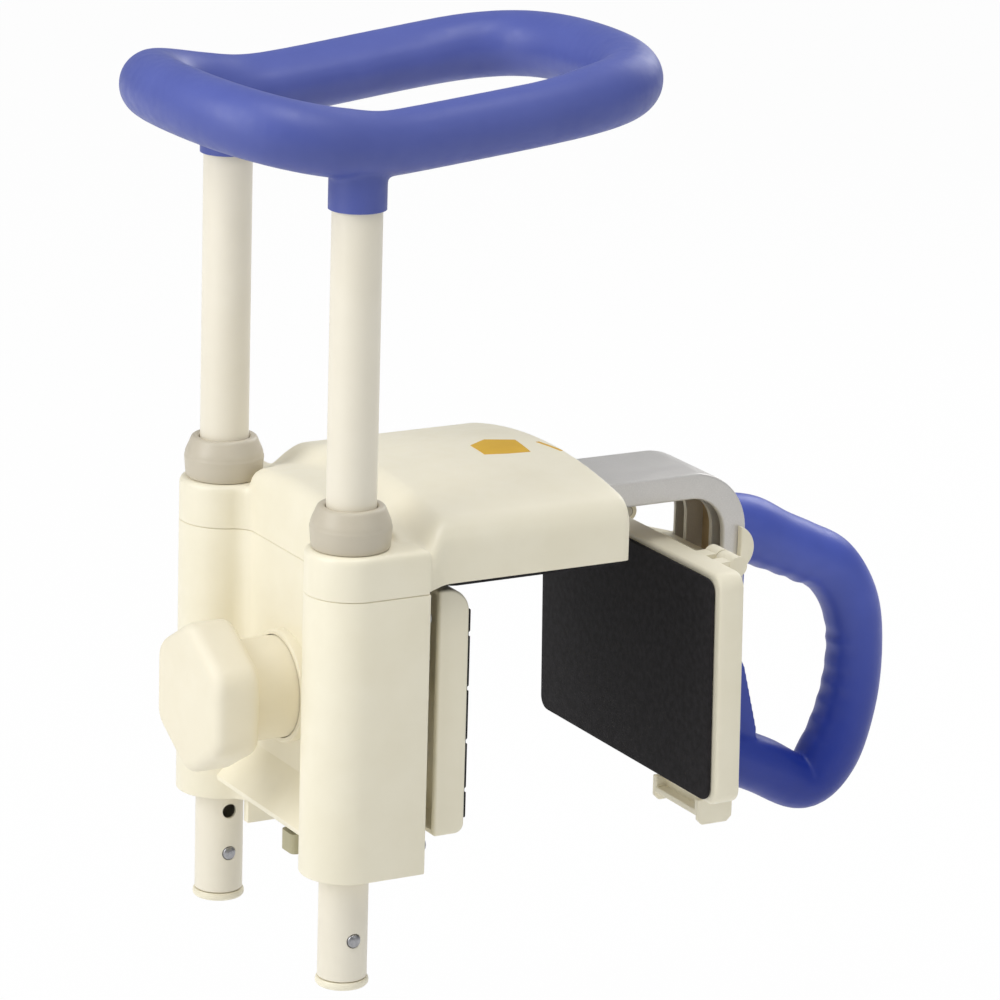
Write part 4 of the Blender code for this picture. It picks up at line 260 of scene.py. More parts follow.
def tube(points, radii, steps, reference, closed=False):
    """Run a round tube along points; reference is a direction that is never along the tube."""
    count = len(points)
    frames = []
    for i in range(count):
        before = points[i - 1] if closed or i > 0 else points[i]
        after = points[(i + 1) % count] if closed or i < count - 1 else points[i]
        along = (Vector(after) - Vector(before)).normalized()
        side = (Vector(reference) - along * along.dot(Vector(reference))).normalized()
        turn = Matrix((side, along.cross(side), along)).transposed().to_4x4()
        frames.append(Matrix.Translation(points[i]) @ turn @ Matrix.Scale(radii[i], 4))
    shape = bmesh.new()
    ring = bmesh.ops.create_circle(shape, segments=steps, radius=1.0)["verts"]
    bmesh.ops.transform(shape, matrix=frames[0], verts=ring)
    rings = [ring]
    for before, after in zip(frames, frames[1:]):
        grown = bmesh.ops.extrude_edge_only(shape, edges=ring_edges(ring))["geom"]
        ring = [item for item in grown if isinstance(item, bmesh.types.BMVert)]
        bmesh.ops.transform(shape, matrix=after @ before.inverted(), verts=ring)
        rings.append(ring)
    ends = ring_edges(rings[0]) + ring_edges(rings[-1])
    if closed:
        bmesh.ops.bridge_loops(shape, edges=ends)
    else:
        bmesh.ops.holes_fill(shape, edges=ends, sides=0)
    return tidy_faces(shape), rings


def arc(middle, radius, first, last, steps=8):
    angles = [math.radians(first + (last - first) * i / steps) for i in range(steps + 1)]
    return [(middle[0] + radius * math.cos(a), middle[1] + radius * math.sin(a)) for a in angles]


def round_rectangle(low, high, radius, steps=6):
    points = []
    for index, (a, b) in enumerate(((1, 1), (0, 1), (0, 0), (1, 0))):
        middle_a = high[0] - radius if a else low[0] + radius
        middle_b = high[1] - radius if b else low[1] + radius
        points += arc((middle_a, middle_b), radius, 90 * index, 90 * index + 90, steps)
    return points


def quarter(steps):
    """Angles from nothing to a right angle."""
    return [math.pi / 2 * i / steps for i in range(steps + 1)]


def smooth_step(value, start, end):
    share = min(max((value - start) / (end - start), 0.0), 1.0)
    return share * share * (3 - 2 * share)


def rounded(shape, width, segments=3, sharper_than=40, where=None):
    """Round the edges that are sharper than an angle, all of them or those that where() takes."""
    limit = math.radians(sharper_than)
    edges = [
        edge for edge in shape.edges
        if edge.calc_face_angle(0) > limit and (where is None or where(edge))
    ]
    bmesh.ops.bevel(shape, geom=edges, offset=width, offset_type="OFFSET", segments=segments, profile=0.5,
                    affect="EDGES", clamp_overlap=True, material=-1)
    return shape


def finished_mesh(name, shape):
    mesh = bpy.data.meshes.new(name)
    shape.to_mesh(mesh)
    shape.free()
    return mesh


def linked(name, data):
    item = bpy.data.objects.new(name, data)
    bpy.context.scene.collection.objects.link(item)
    return item


def helper(shape):
    return linked("helper", finished_mesh("helper", shape))


def applied(item, others=()):
    """Read an object's mesh with its modifiers, and remove it and its helpers."""
    graph = bpy.context.evaluated_depsgraph_get()
    mesh = bpy.data.meshes.new_from_object(item.evaluated_get(graph))
    shape = bmesh.new()
    shape.from_mesh(mesh)
    bpy.data.meshes.remove(mesh)
    for used in [item, *others]:
        data = used.data
        bpy.data.objects.remove(used)
        bpy.data.meshes.remove(data)
    return shape


def combined(shape, others, operation):
    base = helper(shape)
    tools = [helper(other) for other in others]
    for tool in tools:
        step = base.modifiers.new("step", "BOOLEAN")
        step.operation = operation
        step.solver = "MANIFOLD"
        step.object = tool
    return applied(base, tools)


def cut(shape, *tools):
    return combined(shape, tools, "DIFFERENCE")


def fused(shape, *others):
    return combined(shape, others, "UNION")


def melted(shape, voxel, smoothing):
    """Skin over a joined shape whose corners run softly into each other."""
    item = helper(shape)
    remesh = item.modifiers.new("skin", "REMESH")
    remesh.mode = "VOXEL"
    remesh.voxel_size = voxel
    soften = item.modifiers.new("soften", "SMOOTH")
    soften.factor = 0.5
    soften.iterations = smoothing
    return applied(item)


def piece(name, shape, material, body, stands_for=(), sharp=32):
    """Carry a finished shape to the world and hand it to its body."""
    matrix = Matrix.Translation((POST_AXIS, 0, 0)) @ Matrix.Scale(MM, 4)
    bmesh.ops.transform(shape, matrix=matrix, verts=shape.verts)
    mesh = finished_mesh(name, shape)
    mesh.shade_smooth()
    mesh.set_sharp_from_angle(angle=math.radians(sharp))
    mesh.materials.append(material)
    item = linked(name, mesh)
    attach(item, body)
    if stands_for:
        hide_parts(*stands_for)
    return item


# Materials

def linear(colour):
    values = []
    for part in colour:
        share = part / 255
        values.append(share / 12.92 if share <= 0.04045 else ((share + 0.055) / 1.055) ** 2.4)
    return (*values, 1.0)


class Finish:
    """A Principled material whose colour, roughness and bump come from noise on the piece."""

    def __init__(self, name, colour, roughness, metallic=0.0, specular=0.5):
        self.material = bpy.data.materials.new(name)
        self.material.use_nodes = True
        self.tree = self.material.node_tree
        self.shader = self.tree.nodes["Principled BSDF"]
        self.shader.inputs["Base Color"].default_value = linear(colour)
        self.shader.inputs["Roughness"].default_value = roughness
        self.shader.inputs["Metallic"].default_value = metallic
        self.shader.inputs["Specular IOR Level"].default_value = specular
        self.material.diffuse_color = linear(colour)
        self.place = self.tree.nodes.new("ShaderNodeTexCoord")
        self.colour = None
        self.normal = None

    def noise(self, scale, detail, rough=0.5):
        """Noise on object coordinates."""
        noise = self.tree.nodes.new("ShaderNodeTexNoise")
        noise.inputs["Scale"].default_value = scale
        noise.inputs["Detail"].default_value = detail
        noise.inputs["Roughness"].default_value = rough
        self.tree.links.new(self.place.outputs["Object"], noise.inputs["Vector"])
        return noise.outputs["Fac"]

    def spread(self, value, low, high, out_low=0.0, out_high=1.0):
        node = self.tree.nodes.new("ShaderNodeMapRange")
        node.inputs["From Min"].default_value = low
        node.inputs["From Max"].default_value = high
        node.inputs["To Min"].default_value = out_low
        node.inputs["To Max"].default_value = out_high
        self.tree.links.new(value, node.inputs["Value"])
        return node.outputs["Result"]

    def tint(self, mask, base, other):
        """Mix a second colour over the base, or over what is there already."""
        mix = self.tree.nodes.new("ShaderNodeMix")
        mix.data_type = "RGBA"
        self.tree.links.new(mask, mix.inputs["Factor"])
        if self.colour is None:
            mix.inputs["A"].default_value = linear(base)
        else:
            self.tree.links.new(self.colour, mix.inputs["A"])
        mix.inputs["B"].default_value = linear(other)
        self.colour = mix.outputs["Result"]
        self.tree.links.new(self.colour, self.shader.inputs["Base Color"])
        return self

    def rough(self, mask, low, high):
        self.tree.links.new(self.spread(mask, 0.3, 0.7, low, high), self.shader.inputs["Roughness"])
        return self

    def bump(self, height, distance, strength):
        node = self.tree.nodes.new("ShaderNodeBump")
        node.inputs["Strength"].default_value = strength
        node.inputs["Distance"].default_value = distance
        self.tree.links.new(height, node.inputs["Height"])
        if self.normal is not None:
            self.tree.links.new(self.normal, node.inputs["Normal"])
        self.normal = node.outputs["Normal"]
        self.tree.links.new(self.normal, self.shader.inputs["Normal"])
        return self


def moulded(name, colour, shade, roughness, grain=2600, depth=0.00003):
    """Injection-moulded plastic: fine grain, faint flow marks and a little unevenness in colour."""
    finish = Finish(name, colour, roughness)
    finish.tint(finish.spread(finish.noise(38, 4), 0.3, 0.7, 0.0, 0.55), colour, shade)
    finish.rough(finish.noise(150, 3), roughness - 0.06, roughness + 0.08)
    finish.bump(finish.noise(24, 2), 0.0004, 0.25)
    finish.bump(finish.noise(grain, 2, 0.6), depth, 0.6)
    return finish.material


def top_lit_handle():
    """Blue vinyl with painted light: paler towards its top, where the light falls, and a deeper blue below.
    """
    finish = Finish("handle_moulded", (36, 57, 150), 0.40)
    split = finish.tree.nodes.new("ShaderNodeSeparateXYZ")
    finish.tree.links.new(finish.place.outputs["Object"], split.inputs["Vector"])
    # painted light: a mask on object height pales the upper handle and deepens the lower blue, standing for
    # light from above
    finish.tint(finish.spread(split.outputs["Z"], -0.165, -0.025), (2, 40, 142), (74, 92, 186))
    finish.tint(finish.spread(finish.noise(38, 4), 0.3, 0.7, 0.0, 0.15), (36, 57, 150), (24, 40, 120))
    finish.rough(finish.noise(150, 3), 0.36, 0.46)
    finish.bump(finish.noise(1900, 2, 0.6), 0.00006, 0.6)
    return finish.material


def soft_edge(material, weight, tint):
    """Pale bloom that soft vinyl shows along its edges."""
    shader = material.node_tree.nodes["Principled BSDF"]
    shader.inputs["Sheen Weight"].default_value = weight
    shader.inputs["Sheen Roughness"].default_value = 0.35
    shader.inputs["Sheen Tint"].default_value = linear(tint)


def make_materials():
    looks = {}
    looks["cream"] = moulded("cream_moulded", (243, 236, 213), (236, 228, 202), 0.40)
    looks["knob"] = moulded("knob_moulded", (240, 232, 209), (233, 224, 199), 0.52)
    looks["collar"] = moulded("ring_moulded", (201, 192, 173), (189, 180, 160), 0.42)
    # painted shade: a darker olive tone standing for the shadow the release plunger hangs in under the
    # housing
    looks["plunger"] = moulded("plunger_painted_shade", (178, 172, 140), (168, 161, 129), 0.45)
    looks["nylon"] = moulded("nylon_moulded", (214, 210, 198), (204, 199, 186), 0.5)
    looks["grip"] = moulded("grip_moulded", (79, 91, 165), (71, 83, 156), 0.46, 1900, 0.00006)
    looks["handle"] = top_lit_handle()
    soft_edge(looks["handle"], 0.12, (150, 130, 220))

    paint = Finish("post_paint", (238, 231, 213), 0.30)
    paint.tint(paint.spread(paint.noise(30, 3), 0.3, 0.7, 0.0, 0.5), (238, 231, 213), (230, 222, 202))
    paint.rough(paint.noise(90, 2), 0.38, 0.42)
    paint.bump(paint.noise(1500, 2), 0.00002, 0.3)
    looks["paint"] = paint.material

    silver = Finish("arm_silver_paint", (205, 202, 198), 0.38, metallic=0.35)
    silver.tint(silver.spread(silver.noise(3600, 2), 0.45, 0.7), (205, 202, 198), (218, 215, 211))
    silver.rough(silver.noise(120, 3), 0.32, 0.46)
    silver.bump(silver.noise(900, 3), 0.00003, 0.4)
    looks["silver"] = silver.material

    # painted shade: a browner, darker tone for the channel faces, standing for the shade inside the arm's
    # recess
    inside = Finish("arm_channel_shade", (198, 176, 140), 0.6, metallic=0.2)
    inside.tint(inside.spread(inside.noise(90, 3), 0.3, 0.7), (198, 176, 140), (180, 156, 120))
    inside.bump(inside.noise(900, 3), 0.00003, 0.4)
    looks["arm_channel_shade"] = inside.material

    steel = Finish("brushed_steel", (172, 172, 174), 0.32, metallic=1.0)
    steel.tint(steel.spread(steel.noise(500, 3), 0.3, 0.7), (172, 172, 174), (150, 150, 153))
    steel.rough(steel.noise(700, 3), 0.24, 0.42)
    steel.bump(steel.noise(1800, 2), 0.00002, 0.3)
    looks["steel"] = steel.material

    rubber = Finish("pad_rubber", (34, 32, 33), 0.82, specular=0.25)
    rubber.tint(rubber.spread(rubber.noise(260, 4), 0.35, 0.7), (31, 29, 30), (42, 40, 42))
    rubber.bump(rubber.noise(900, 3, 0.6), 0.0002, 0.5)
    looks["rubber"] = rubber.material

    amber = Finish("amber_film", (224, 178, 50), 0.5, specular=0.3)
    amber.tint(amber.spread(amber.noise(60, 3), 0.3, 0.7), (224, 178, 50), (214, 168, 44))
    amber.bump(amber.noise(500, 2), 0.00002, 0.3)
    looks["amber"] = amber.material
    return looks


def finish_frame_nodes(looks):
    """Give each solid that stays in view its own look."""
    by_slot = {
        "cream_plastic": "cream", "collar_plastic": "collar", "cream_paint": "paint", "blue_grip": "grip",
        "blue_handle": "handle", "silver_paint": "silver", "steel": "steel", "nylon": "nylon",
        "black_rubber": "rubber",
    }
    slots = {part["node"]: part["material_slot"] for part in frame["record"]["subparts"]}
    for name, item in frame["nodes"].items():
        # painted shade: the release plunger takes the darker olive plunger look
        look = looks["plunger"] if name == "release_plunger" else looks[by_slot[slots[name]]]
        item.data.materials.clear()
        item.data.materials.append(look)


# Top grip and posts

def bezier(first, first_pull, last_pull, last, steps):
    points = []
    for i in range(steps):
        t = i / steps
        share = ((1 - t) ** 3, 3 * (1 - t) ** 2 * t, 3 * (1 - t) * t ** 2, t ** 3)
        knots = (first, first_pull, last_pull, last)
        points.append(tuple(sum(s * knot[axis] for s, knot in zip(share, knots)) for axis in (0, 1)))
    return points


def grip_line(steps):
    """The middle of the loop: its plan, and its height, which climbs towards both ends."""
    side = GRIP_SIDE[1]
    in_end = (GRIP_IN_END, 0)
    half = bezier((GRIP_OUT_END, 0), (GRIP_OUT_END, -93.4), (-12.5, side), GRIP_SIDE, steps)
    half += bezier(GRIP_SIDE, (121.2, side), (GRIP_IN_END, -91.0), in_end, steps + 6)
    line = []
    for x, y in half + [in_end] + [(x, -y) for x, y in reversed(half[1:])]:
        climb = math.log(1 + math.exp(-x / GRIP_RISE_BEND))
        line.append((x, y, GRIP_HEIGHT + GRIP_SLOPE * x + GRIP_RISE * GRIP_RISE_BEND * climb))
    return line


def grip_tube(radius, steps, sides, flat=0.0):
    """The grip's round loop; flat is how far its inner top side is drawn in beside the posts."""
    line = grip_line(steps)
    shape, rings = tube(line, [radius] * len(line), sides, (0, 0, 1), closed=True)
    for middle, ring in zip(line, rings):
        fade = smooth_step(middle[0], -12, 18) * (1 - smooth_step(middle[0], 95, 140))
        if flat * fade == 0:
            continue
        for corner in ring:
            offset = corner.co - Vector(middle)
            turn = math.atan2(offset.z, -math.copysign(1, middle[1]) * offset.y)
            drawn = flat * fade * max(math.cos(turn - math.radians(62)), 0) ** 4
            corner.co -= offset.normalized() * drawn
    return shape


def make_grip(looks):
    sleeves = post_bars(188, SLEEVE_TOP, SLEEVE_RADIUS)
    outside = melted(fused(grip_tube(GRIP_RADIUS, 26, 40, GRIP_FLAT), *sleeves), 1.25, 9)
    below = [box((-20, s * POST_Y - 20, 170), (20, s * POST_Y + 20, SLEEVE_BOTTOM)) for s in SIDES]
    inside = fused(grip_tube(GRIP_BORE, 20, 28), *post_bars(180, SLEEVE_TOP, POST_RADIUS + 0.3))
    shape = cut(outside, *below, inside)
    piece("top_grip", shape, looks["grip"], "grip", ["top_grip_cover"], sharp=50)


def make_posts(looks):
    for side, name in zip(SIDES, SIDE_NAMES):
        y = side * POST_Y
        shape = round_post(side, [
            (POST_BORE, POST_BOTTOM), (POST_RADIUS - 0.5, POST_BOTTOM), (POST_RADIUS, POST_BOTTOM + 0.5),
            (POST_RADIUS, POST_TOP), (POST_BORE, POST_TOP),
        ])
        holes = []
        for index in range(HOLE_COUNT):
            height = LOCK_HEIGHT + (index - 1) * HOLE_PITCH
            inner = side * (POST_Y - POST_RADIUS - 2)
            holes.append(bar((0, y, height), (0, inner, height), HOLE_RADIUS, 32))
        button_side = y - POST_RADIUS - 2
        holes.append(bar((0, y, BUTTON_HEIGHT), (0, button_side, BUTTON_HEIGHT), BUTTON_HOLE, 32))
        shape = cut(shape, *holes)
        piece(name + "_post_tube", shape, looks["paint"], "grip", [name + "_post"])
        cap = round_post(side, [
            (0, -208.9), (11.6, -208.9), (12.9, -208.5), (13.6, -207.6), (13.7, -206.6), (13.5, -205.4),
            (12.9, -204.7), (10.8, -204.7), (10.8, -195.0), (10.2, -194.4), (0, -194.4),
        ])
        piece(name + "_post_foot", cap, looks["cream"], "grip", [name + "_foot_cap"])
        profile = [(0, 7.7), (BUTTON_FLANGE, 7.7), (BUTTON_FLANGE, 9.5), (BUTTON_RADIUS, 9.5)]
        for turn in quarter(6)[:-1]:
            profile.append((BUTTON_RADIUS * math.cos(turn), BUTTON_SHOULDER + BUTTON_DOME * math.sin(turn)))
        profile.append((0, 14.1))
        button = revolved(profile, (0, y, BUTTON_HEIGHT), (0, y - 1, BUTTON_HEIGHT), 40)
        piece(name + "_snap_stud", button, looks["steel"], name + "_button", [name + "_snap_button"])


def make_rings(looks):
    for side, name in zip(SIDES, SIDE_NAMES):
        shape = round_post(side, [
            (15.9, 23.1), (19.5, 23.1), (19.9, 23.6), (20.4, 28.0), (20.8, 33.4), (20.75, 34.2), (20.4, 34.9),
            (20.4, 35.6), (20.2, 36.6), (19.6, 38.2), (18.6, 40.4), (17.7, 42.6), (17.1, 43.8), (16.3, 44.4),
            (13.9, 44.4), (13.1, 43.6), (13.1, 42.5), (14.4, 41.2), (15.9, 36.3),
        ], 72)
        piece(name + "_ring_nut", shape, looks["collar"], name + "_ring", [name + "_lock_ring"],
              sharp=40)


# Housing and cover

def housing_outline(inset, rear):
    """Plan of the two columns and the web between them, drawn in by an inset."""
    hollow_x = WEB_FACE - WEB_FILLET
    side_step = math.sqrt((COLUMN_RADIUS + WEB_FILLET) ** 2 - hollow_x ** 2)
    meeting = math.degrees(math.atan2(side_step, hollow_x))
    column = arc((0, -POST_Y), COLUMN_RADIUS - inset, 270, meeting, 22)
    fillet = arc((hollow_x, side_step - POST_Y), WEB_FILLET + inset, meeting - 180, 0, 8)
    half = [(rear, -POST_Y - COLUMN_RADIUS + inset)] + column + fillet
    return half + [(x, -y) for x, y in reversed(half)]


def scoop():
    """Ledge between the columns that slopes down and out from the web to its lip."""
    slope = bezier((3.5, -110.2), (-1.0, -118.5), (-6.5, -127.5), SCOOP_LIP, 16)
    profile = slope + [SCOOP_LIP, (SCOOP_LIP[0], -137.0), (3.5, -147.0)]
    ledge = prism(profile, "XZ", -SCOOP_HALF_WIDTH, SCOOP_HALF_WIDTH)
    return rounded(ledge, 0.7, 3, 40, lambda edge: all(corner.co.x < -11 for corner in edge.verts))


def make_housing(looks):
    outer = prism(housing_outline(0, HOUSING_REAR), "XY", -HOUSING_HEIGHT, 0)
    rounded(outer, 0.8, 3, 40)
    hollow = prism(housing_outline(WALL, HOUSING_REAR + WALL), "XY", -HOUSING_HEIGHT + WALL, 2)
    kept = []
    for s in SIDES:
        near, far = span(s, 51, COLUMN_EDGE)
        kept.append(bar((0, s * POST_Y, -HOUSING_HEIGHT), (0, s * POST_Y, SEAT_BOTTOM), SLEEVE_WALL))
        kept.append(box((-COLUMN_RADIUS, near, -HOUSING_HEIGHT), (4, far, SEAT_BOTTOM)))
    shell = cut(outer, cut(hollow, *kept))
    ring = revolved([(26.5, -3.5), (28.6, -3.5), (29.3, -3.0), (29.5, -2.2), (29.5, 3.4), (26.5, 3.4)],
                    (0, 0, KNOB_HEIGHT), (1, 0, KNOB_HEIGHT), 80)
    fittings = [ring, scoop()]
    for s in SIDES:
        near, far = span(s, 44, 49)
        fittings.append(rounded(box((3, near, -161), (22, far, -146)), 0.6, 2))
        near, far = span(s, 40.5, 44)
        fittings.append(box((5, near, -128), (31.3, far, 3)))
        fittings.append(bar((18, s * 35, -22), (18, s * 35, 3), 6))
        near, far = span(s, 28, 40)
        fittings.append(box((17, near, -146), (24, far, -139.1)))
        for height in REAR_SCREW_HEIGHTS:
            fittings.append(bar((14, s * 88, height), (31.3, s * 88, height), 5, 32))
    shell = fused(shell, *fittings)
    tools = [
        bar((-10, 0, KNOB_HEIGHT), (9, 0, KNOB_HEIGHT), KNOB_NECK_RADIUS + 0.5, 80),
        box((3.3, -7.3, -150), (16.3, 7.3, -144.9)),
    ]
    for s in SIDES:
        y = s * POST_Y
        tools.append(bar((0, y, -145), (0, y, 2), POST_ROOM))
        tools.append(bar((0, y, -150), (0, y, -143), POST_EXIT))
        tools.append(bar((0, y, SEAT_BOTTOM), (0, y, 2), RING_SEAT))
        near, far = span(s, 51.6, 59.3)
        tools.append(box((-4.4, near, -139.6), (12, far, -130.8)))
        near, far = span(s, 39.5, 45)
        tools.append(box((21, near, -81), (34, far, -61)))
        tools.append(bar((18, s * 35, -14.3), (18, s * 35, 5), 2.6, 24))
        for height in REAR_SCREW_HEIGHTS:
            tools.append(bar((17.7, s * 88, height), (34, s * 88, height), SCREW_HOLE, 24))
    shell = cut(shell, *tools)
    piece("housing_shell", shell, looks["cream"], "frame", ["main_housing"])


def cover_section(distance, inset, bottom, narrow=0.0):
    """Arched section at a distance from the posts; it is wide and low beside them, then narrower."""
    blend = smooth_step(distance, *COVER_BLEND)
    crown = 36.5 + 6.5 * blend - inset - narrow
    half = 94.8 - 7.8 * blend - inset - narrow
    arch, corner = 225 + 110 * blend - inset, COVER_CORNER - inset
    corner_y = half - corner
    middle_z = crown - arch
    corner_z = middle_z + math.sqrt((arch - corner) ** 2 - corner_y ** 2)
    meeting = math.degrees(math.atan2(corner_z - middle_z, corner_y))
    right = arc((corner_y, corner_z), corner, 0, meeting, 8) + arc((0, middle_z), arch, meeting, 90, 16)[1:]
    right = [(half, bottom)] + right
    points = right + [(-y, z) for y, z in reversed(right[:-1])]
    start = WEB_FACE + inset
    left = max(COVER_REAR_ROUND - (distance - start), 0)
    lowered = crown - COVER_REAR_ROUND + math.sqrt(COVER_REAR_ROUND ** 2 - left ** 2)
    share = (lowered - bottom) / (crown - bottom)
    return [(distance, y, bottom + (z - bottom) * share) for y, z in points]


def cover_arch(inset, bottom):
    start = WEB_FACE + inset
    places = [start + COVER_REAR_ROUND * (1 - math.cos(turn)) for turn in quarter(8)]
    places += [14 + 3.4 * i for i in range(1, 13)]
    end = COVER_REACH - inset
    sections = [cover_section(place, inset, bottom) for place in places]
    for turn in quarter(4):
        drawn = COVER_END_ROUND * (1 - math.cos(turn))
        section = cover_section(60, inset, bottom, drawn)
        place = end - COVER_END_ROUND + COVER_END_ROUND * math.sin(turn)
        sections.append([(place, y, z) for _, y, z in section])
    return lofted(sections)


def make_cover(looks):
    arch = cut(cover_arch(0, -8), *post_bars(SHOULDER_TOP, OVER_COVER, 25.6))
    shoulder = prism(housing_outline(0, HOUSING_REAR), "XY", -8, SHOULDER_TOP)
    rounded(shoulder, 3, 4, 40, lambda edge: all(corner.co.z > 0 for corner in edge.verts))
    outer = melted(fused(arch, shoulder), 1.2, 5)
    ceiling = SHOULDER_TOP - COVER_WALL
    room = cut(cover_arch(COVER_WALL, -10), *post_bars(ceiling, OVER_COVER, 28))
    shoulder_room = prism(housing_outline(COVER_WALL, HOUSING_REAR - COVER_WALL), "XY", -10, ceiling)
    below = [
        box((-40, -110, -20), (HOUSING_REAR, 110, 0.3)),
        box((HOUSING_REAR - 1, -110, -20), (170, 110, 1.5)),
    ]
    window = box((148.5, -26.6, 7.5), (157, 26.6, 23.9))
    shell = cut(outer, *below, room, shoulder_room, *post_bars(15, 30, 16), window)
    x, y = COVER_SCREW
    shell = fused(shell, *[bar((x, s * y, 6.6), (x, s * y, 34.2), 5.5, 32) for s in SIDES])
    shell = cut(shell, *[bar((x, s * y, 0), (x, s * y, 22.3), SCREW_HOLE, 24) for s in SIDES])
    piece("cover_shell", shell, looks["cream"], "frame", ["top_cover"], sharp=42)


def make_patches(looks):
    """Plain amber films on the cover's top."""
    outlines = {
        "cover_patch": [(109, -10.5), (110.5, 7.5), (123.4, 16.1), (137.6, 8.4), (134, -14.7), (122, -13.5)],
        "cover_edge_patch": [(145.4, 0.0), (149.6, -18.6), (151.0, -18.6), (147.2, 0.0)],
    }
    for name, outline in outlines.items():
        film = combined(prism(outline, "XY", 30, 60), [cover_arch(-0.15, -8)], "INTERSECT")
        piece(name, cut(film, cover_arch(0.5, -8)), looks["amber"], "frame")


def make_knob(looks):
    def hexagon(inset):
        points = []
        for corner in range(6):
            turn = 90 + 60 * corner
            middle = arc((0, 0), KNOB_CORNER_REACH, turn, turn, 1)[0]
            points += arc(middle, KNOB_CORNER_ROUND - inset, turn - 30, turn + 30, 5)
        return points

    layers = [(2.7, -30), (1.2, -31.2), (0.3, -33.0), (0, -35.0)]
    for turn in quarter(6):
        layers.append((KNOB_EDGE_ROUND * (1 - math.cos(turn)), -49.5 - KNOB_EDGE_ROUND * math.sin(turn)))
    sections = [[(x, y, KNOB_HEIGHT + z) for y, z in hexagon(inset)] for inset, x in layers]
    head = lofted(sections)
    neck = bar((-31, 0, KNOB_HEIGHT), (1, 0, KNOB_HEIGHT), KNOB_NECK_RADIUS, 72)
    shape = melted(fused(head, neck), 0.9, 8)
    start, end = (0, 0, KNOB_HEIGHT), (1, 0, KNOB_HEIGHT)
    room = revolved([(11, -27), (23.5, -27), (23.5, 4), (11, 4)], start, end)
    shape = cut(shape, room, bar((-48.8, 0, KNOB_HEIGHT), (5, 0, KNOB_HEIGHT), 8.0))
    piece("knob_grip", shape, looks["knob"], "knob", ["clamp_knob"], sharp=45)


# Outer pad

def make_outer_pad(looks):
    outline = [(47, -4), (47, -135)] + arc((59.5, -130), 5, -90, 0, 8) + arc((51.5, -17), 13, 0, 90, 12)
    outer = prism(outline, "XZ", -80, 80)
    rounded(outer, 1.6, 4, 40)
    inner = [(40, -7), (40, -132), (61.5, -132)] + arc((51.5, -17), 10, 0, 90, 12)
    shell = cut(outer, prism(inner, "XZ", -77, 77))
    bosses = [bar((49.3, 0, KNOB_HEIGHT), (63, 0, KNOB_HEIGHT), 12)]
    bosses += [bar((49.3, s * ROD_Y, KNOB_HEIGHT), (63, s * ROD_Y, KNOB_HEIGHT), 9, 32) for s in SIDES]
    holes = [bar((47, 0, KNOB_HEIGHT), (58.1, 0, KNOB_HEIGHT), 6.3)]
    holes += [bar((47, s * ROD_Y, KNOB_HEIGHT), (60.1, s * ROD_Y, KNOB_HEIGHT), 4.15, 32) for s in SIDES]
    shell = cut(fused(shell, *bosses), *holes)
    piece("outer_pad_shell", shell, looks["cream"], "clamp", ["outer_pad_holder"])
    pad = rounded(box((64.8, -76, -128.5), (67.5, 76, -17)), 0.8, 3)
    grooves = []
    for height in (-30, -59, -87.3, -113.4):
        profile = [(66.3, height - 0.9), (66.3, height + 0.9), (68, height + 1.9), (68, height - 1.9)]
        grooves.append(prism(profile, "XZ", -80, 80))
    pad = cut(pad, *grooves)
    piece("outer_pad_face", pad, looks["rubber"], "clamp", ["outer_pad_rubber"])


# Slide arm and what hangs on it

def arm_outline(outer_depth, inner_depth, overrun=0.0):
    """Side view of a band between two depths under the arm's outer face."""
    start, bottom = ARM_START - overrun, LEG_BOTTOM - overrun
    outer, inner = ARM_BEND_RADIUS - outer_depth, ARM_BEND_RADIUS - inner_depth
    upper = [(start, ARM_BEND[1] + outer)] + arc(ARM_BEND, outer, 90, 0, 20) + [(ARM_BEND[0] + outer, bottom)]
    lower = [(ARM_BEND[0] + inner, bottom)] + arc(ARM_BEND, inner, 0, 90, 20) + [(start, ARM_BEND[1] + inner)]
    return upper + lower


def in_channel(place):
    """Whether a place in metres lies in the channels on the arm's inner side."""
    x, y, z = (place.x - POST_AXIS) / MM, place.y / MM, place.z / MM
    if z < ARM_BEND[1]:
        depth = LEG_FACE - x
    elif x < ARM_BEND[0]:
        depth = ARM_TOP - z
    else:
        depth = LEG_FACE - ARM_BEND[0] - math.hypot(x - ARM_BEND[0], z - ARM_BEND[1])
    return abs(y) < 23.2 and 3.5 < depth < ARM_THICKNESS - 0.2 and z > -160 and x > 96


def make_arm(looks):
    shape = prism(arm_outline(0, ARM_THICKNESS), "XZ", -ARM_HALF_WIDTH, ARM_HALF_WIDTH)
    rounded(shape, 1.4, 4, 40, lambda edge: all(abs(c.co.y) > ARM_HALF_WIDTH - 1 for c in edge.verts))
    tools = []
    for low, high in ARM_CHANNELS:
        tools.append(prism(arm_outline(ARM_SKIN, ARM_THICKNESS + 2, 2), "XZ", low, high))
    for height in HANDLE_BOLT_HEIGHTS:
        tools.append(bar((LEG_FACE - 8, 0, height), (LEG_FACE + 3, 0, height), 3.3, 32))
    shape = cut(shape, *tools)
    bar_item = piece("arm_bar", shape, looks["silver"], "arm", ["slide_arm"])
    # painted shade: faces inside the channels take the darker, browner channel look
    bar_item.data.materials.append(looks["arm_channel_shade"])
    for face in bar_item.data.polygons:
        if in_channel(face.center):
            face.material_index = 1


def handle_line(steps):
    """Smooth line of (x, z, radius) through the places of the route."""
    route = HANDLE_ROUTE
    line = []
    for index in range(len(route) - 1):
        before, here = route[max(index - 1, 0)], route[index]
        there, after = route[index + 1], route[min(index + 2, len(route) - 1)]
        for step in range(steps):
            t = step / steps
            share = ((-t + 2 * t * t - t ** 3) / 2, (2 - 5 * t * t + 3 * t ** 3) / 2,
                     (t + 4 * t * t - 3 * t ** 3) / 2, (-t * t + t ** 3) / 2)
            knots = (before, here, there, after)
            line.append([sum(s * knot[i] for s, knot in zip(share, knots)) for i in range(3)])
    line.append(list(route[-1]))
    return line


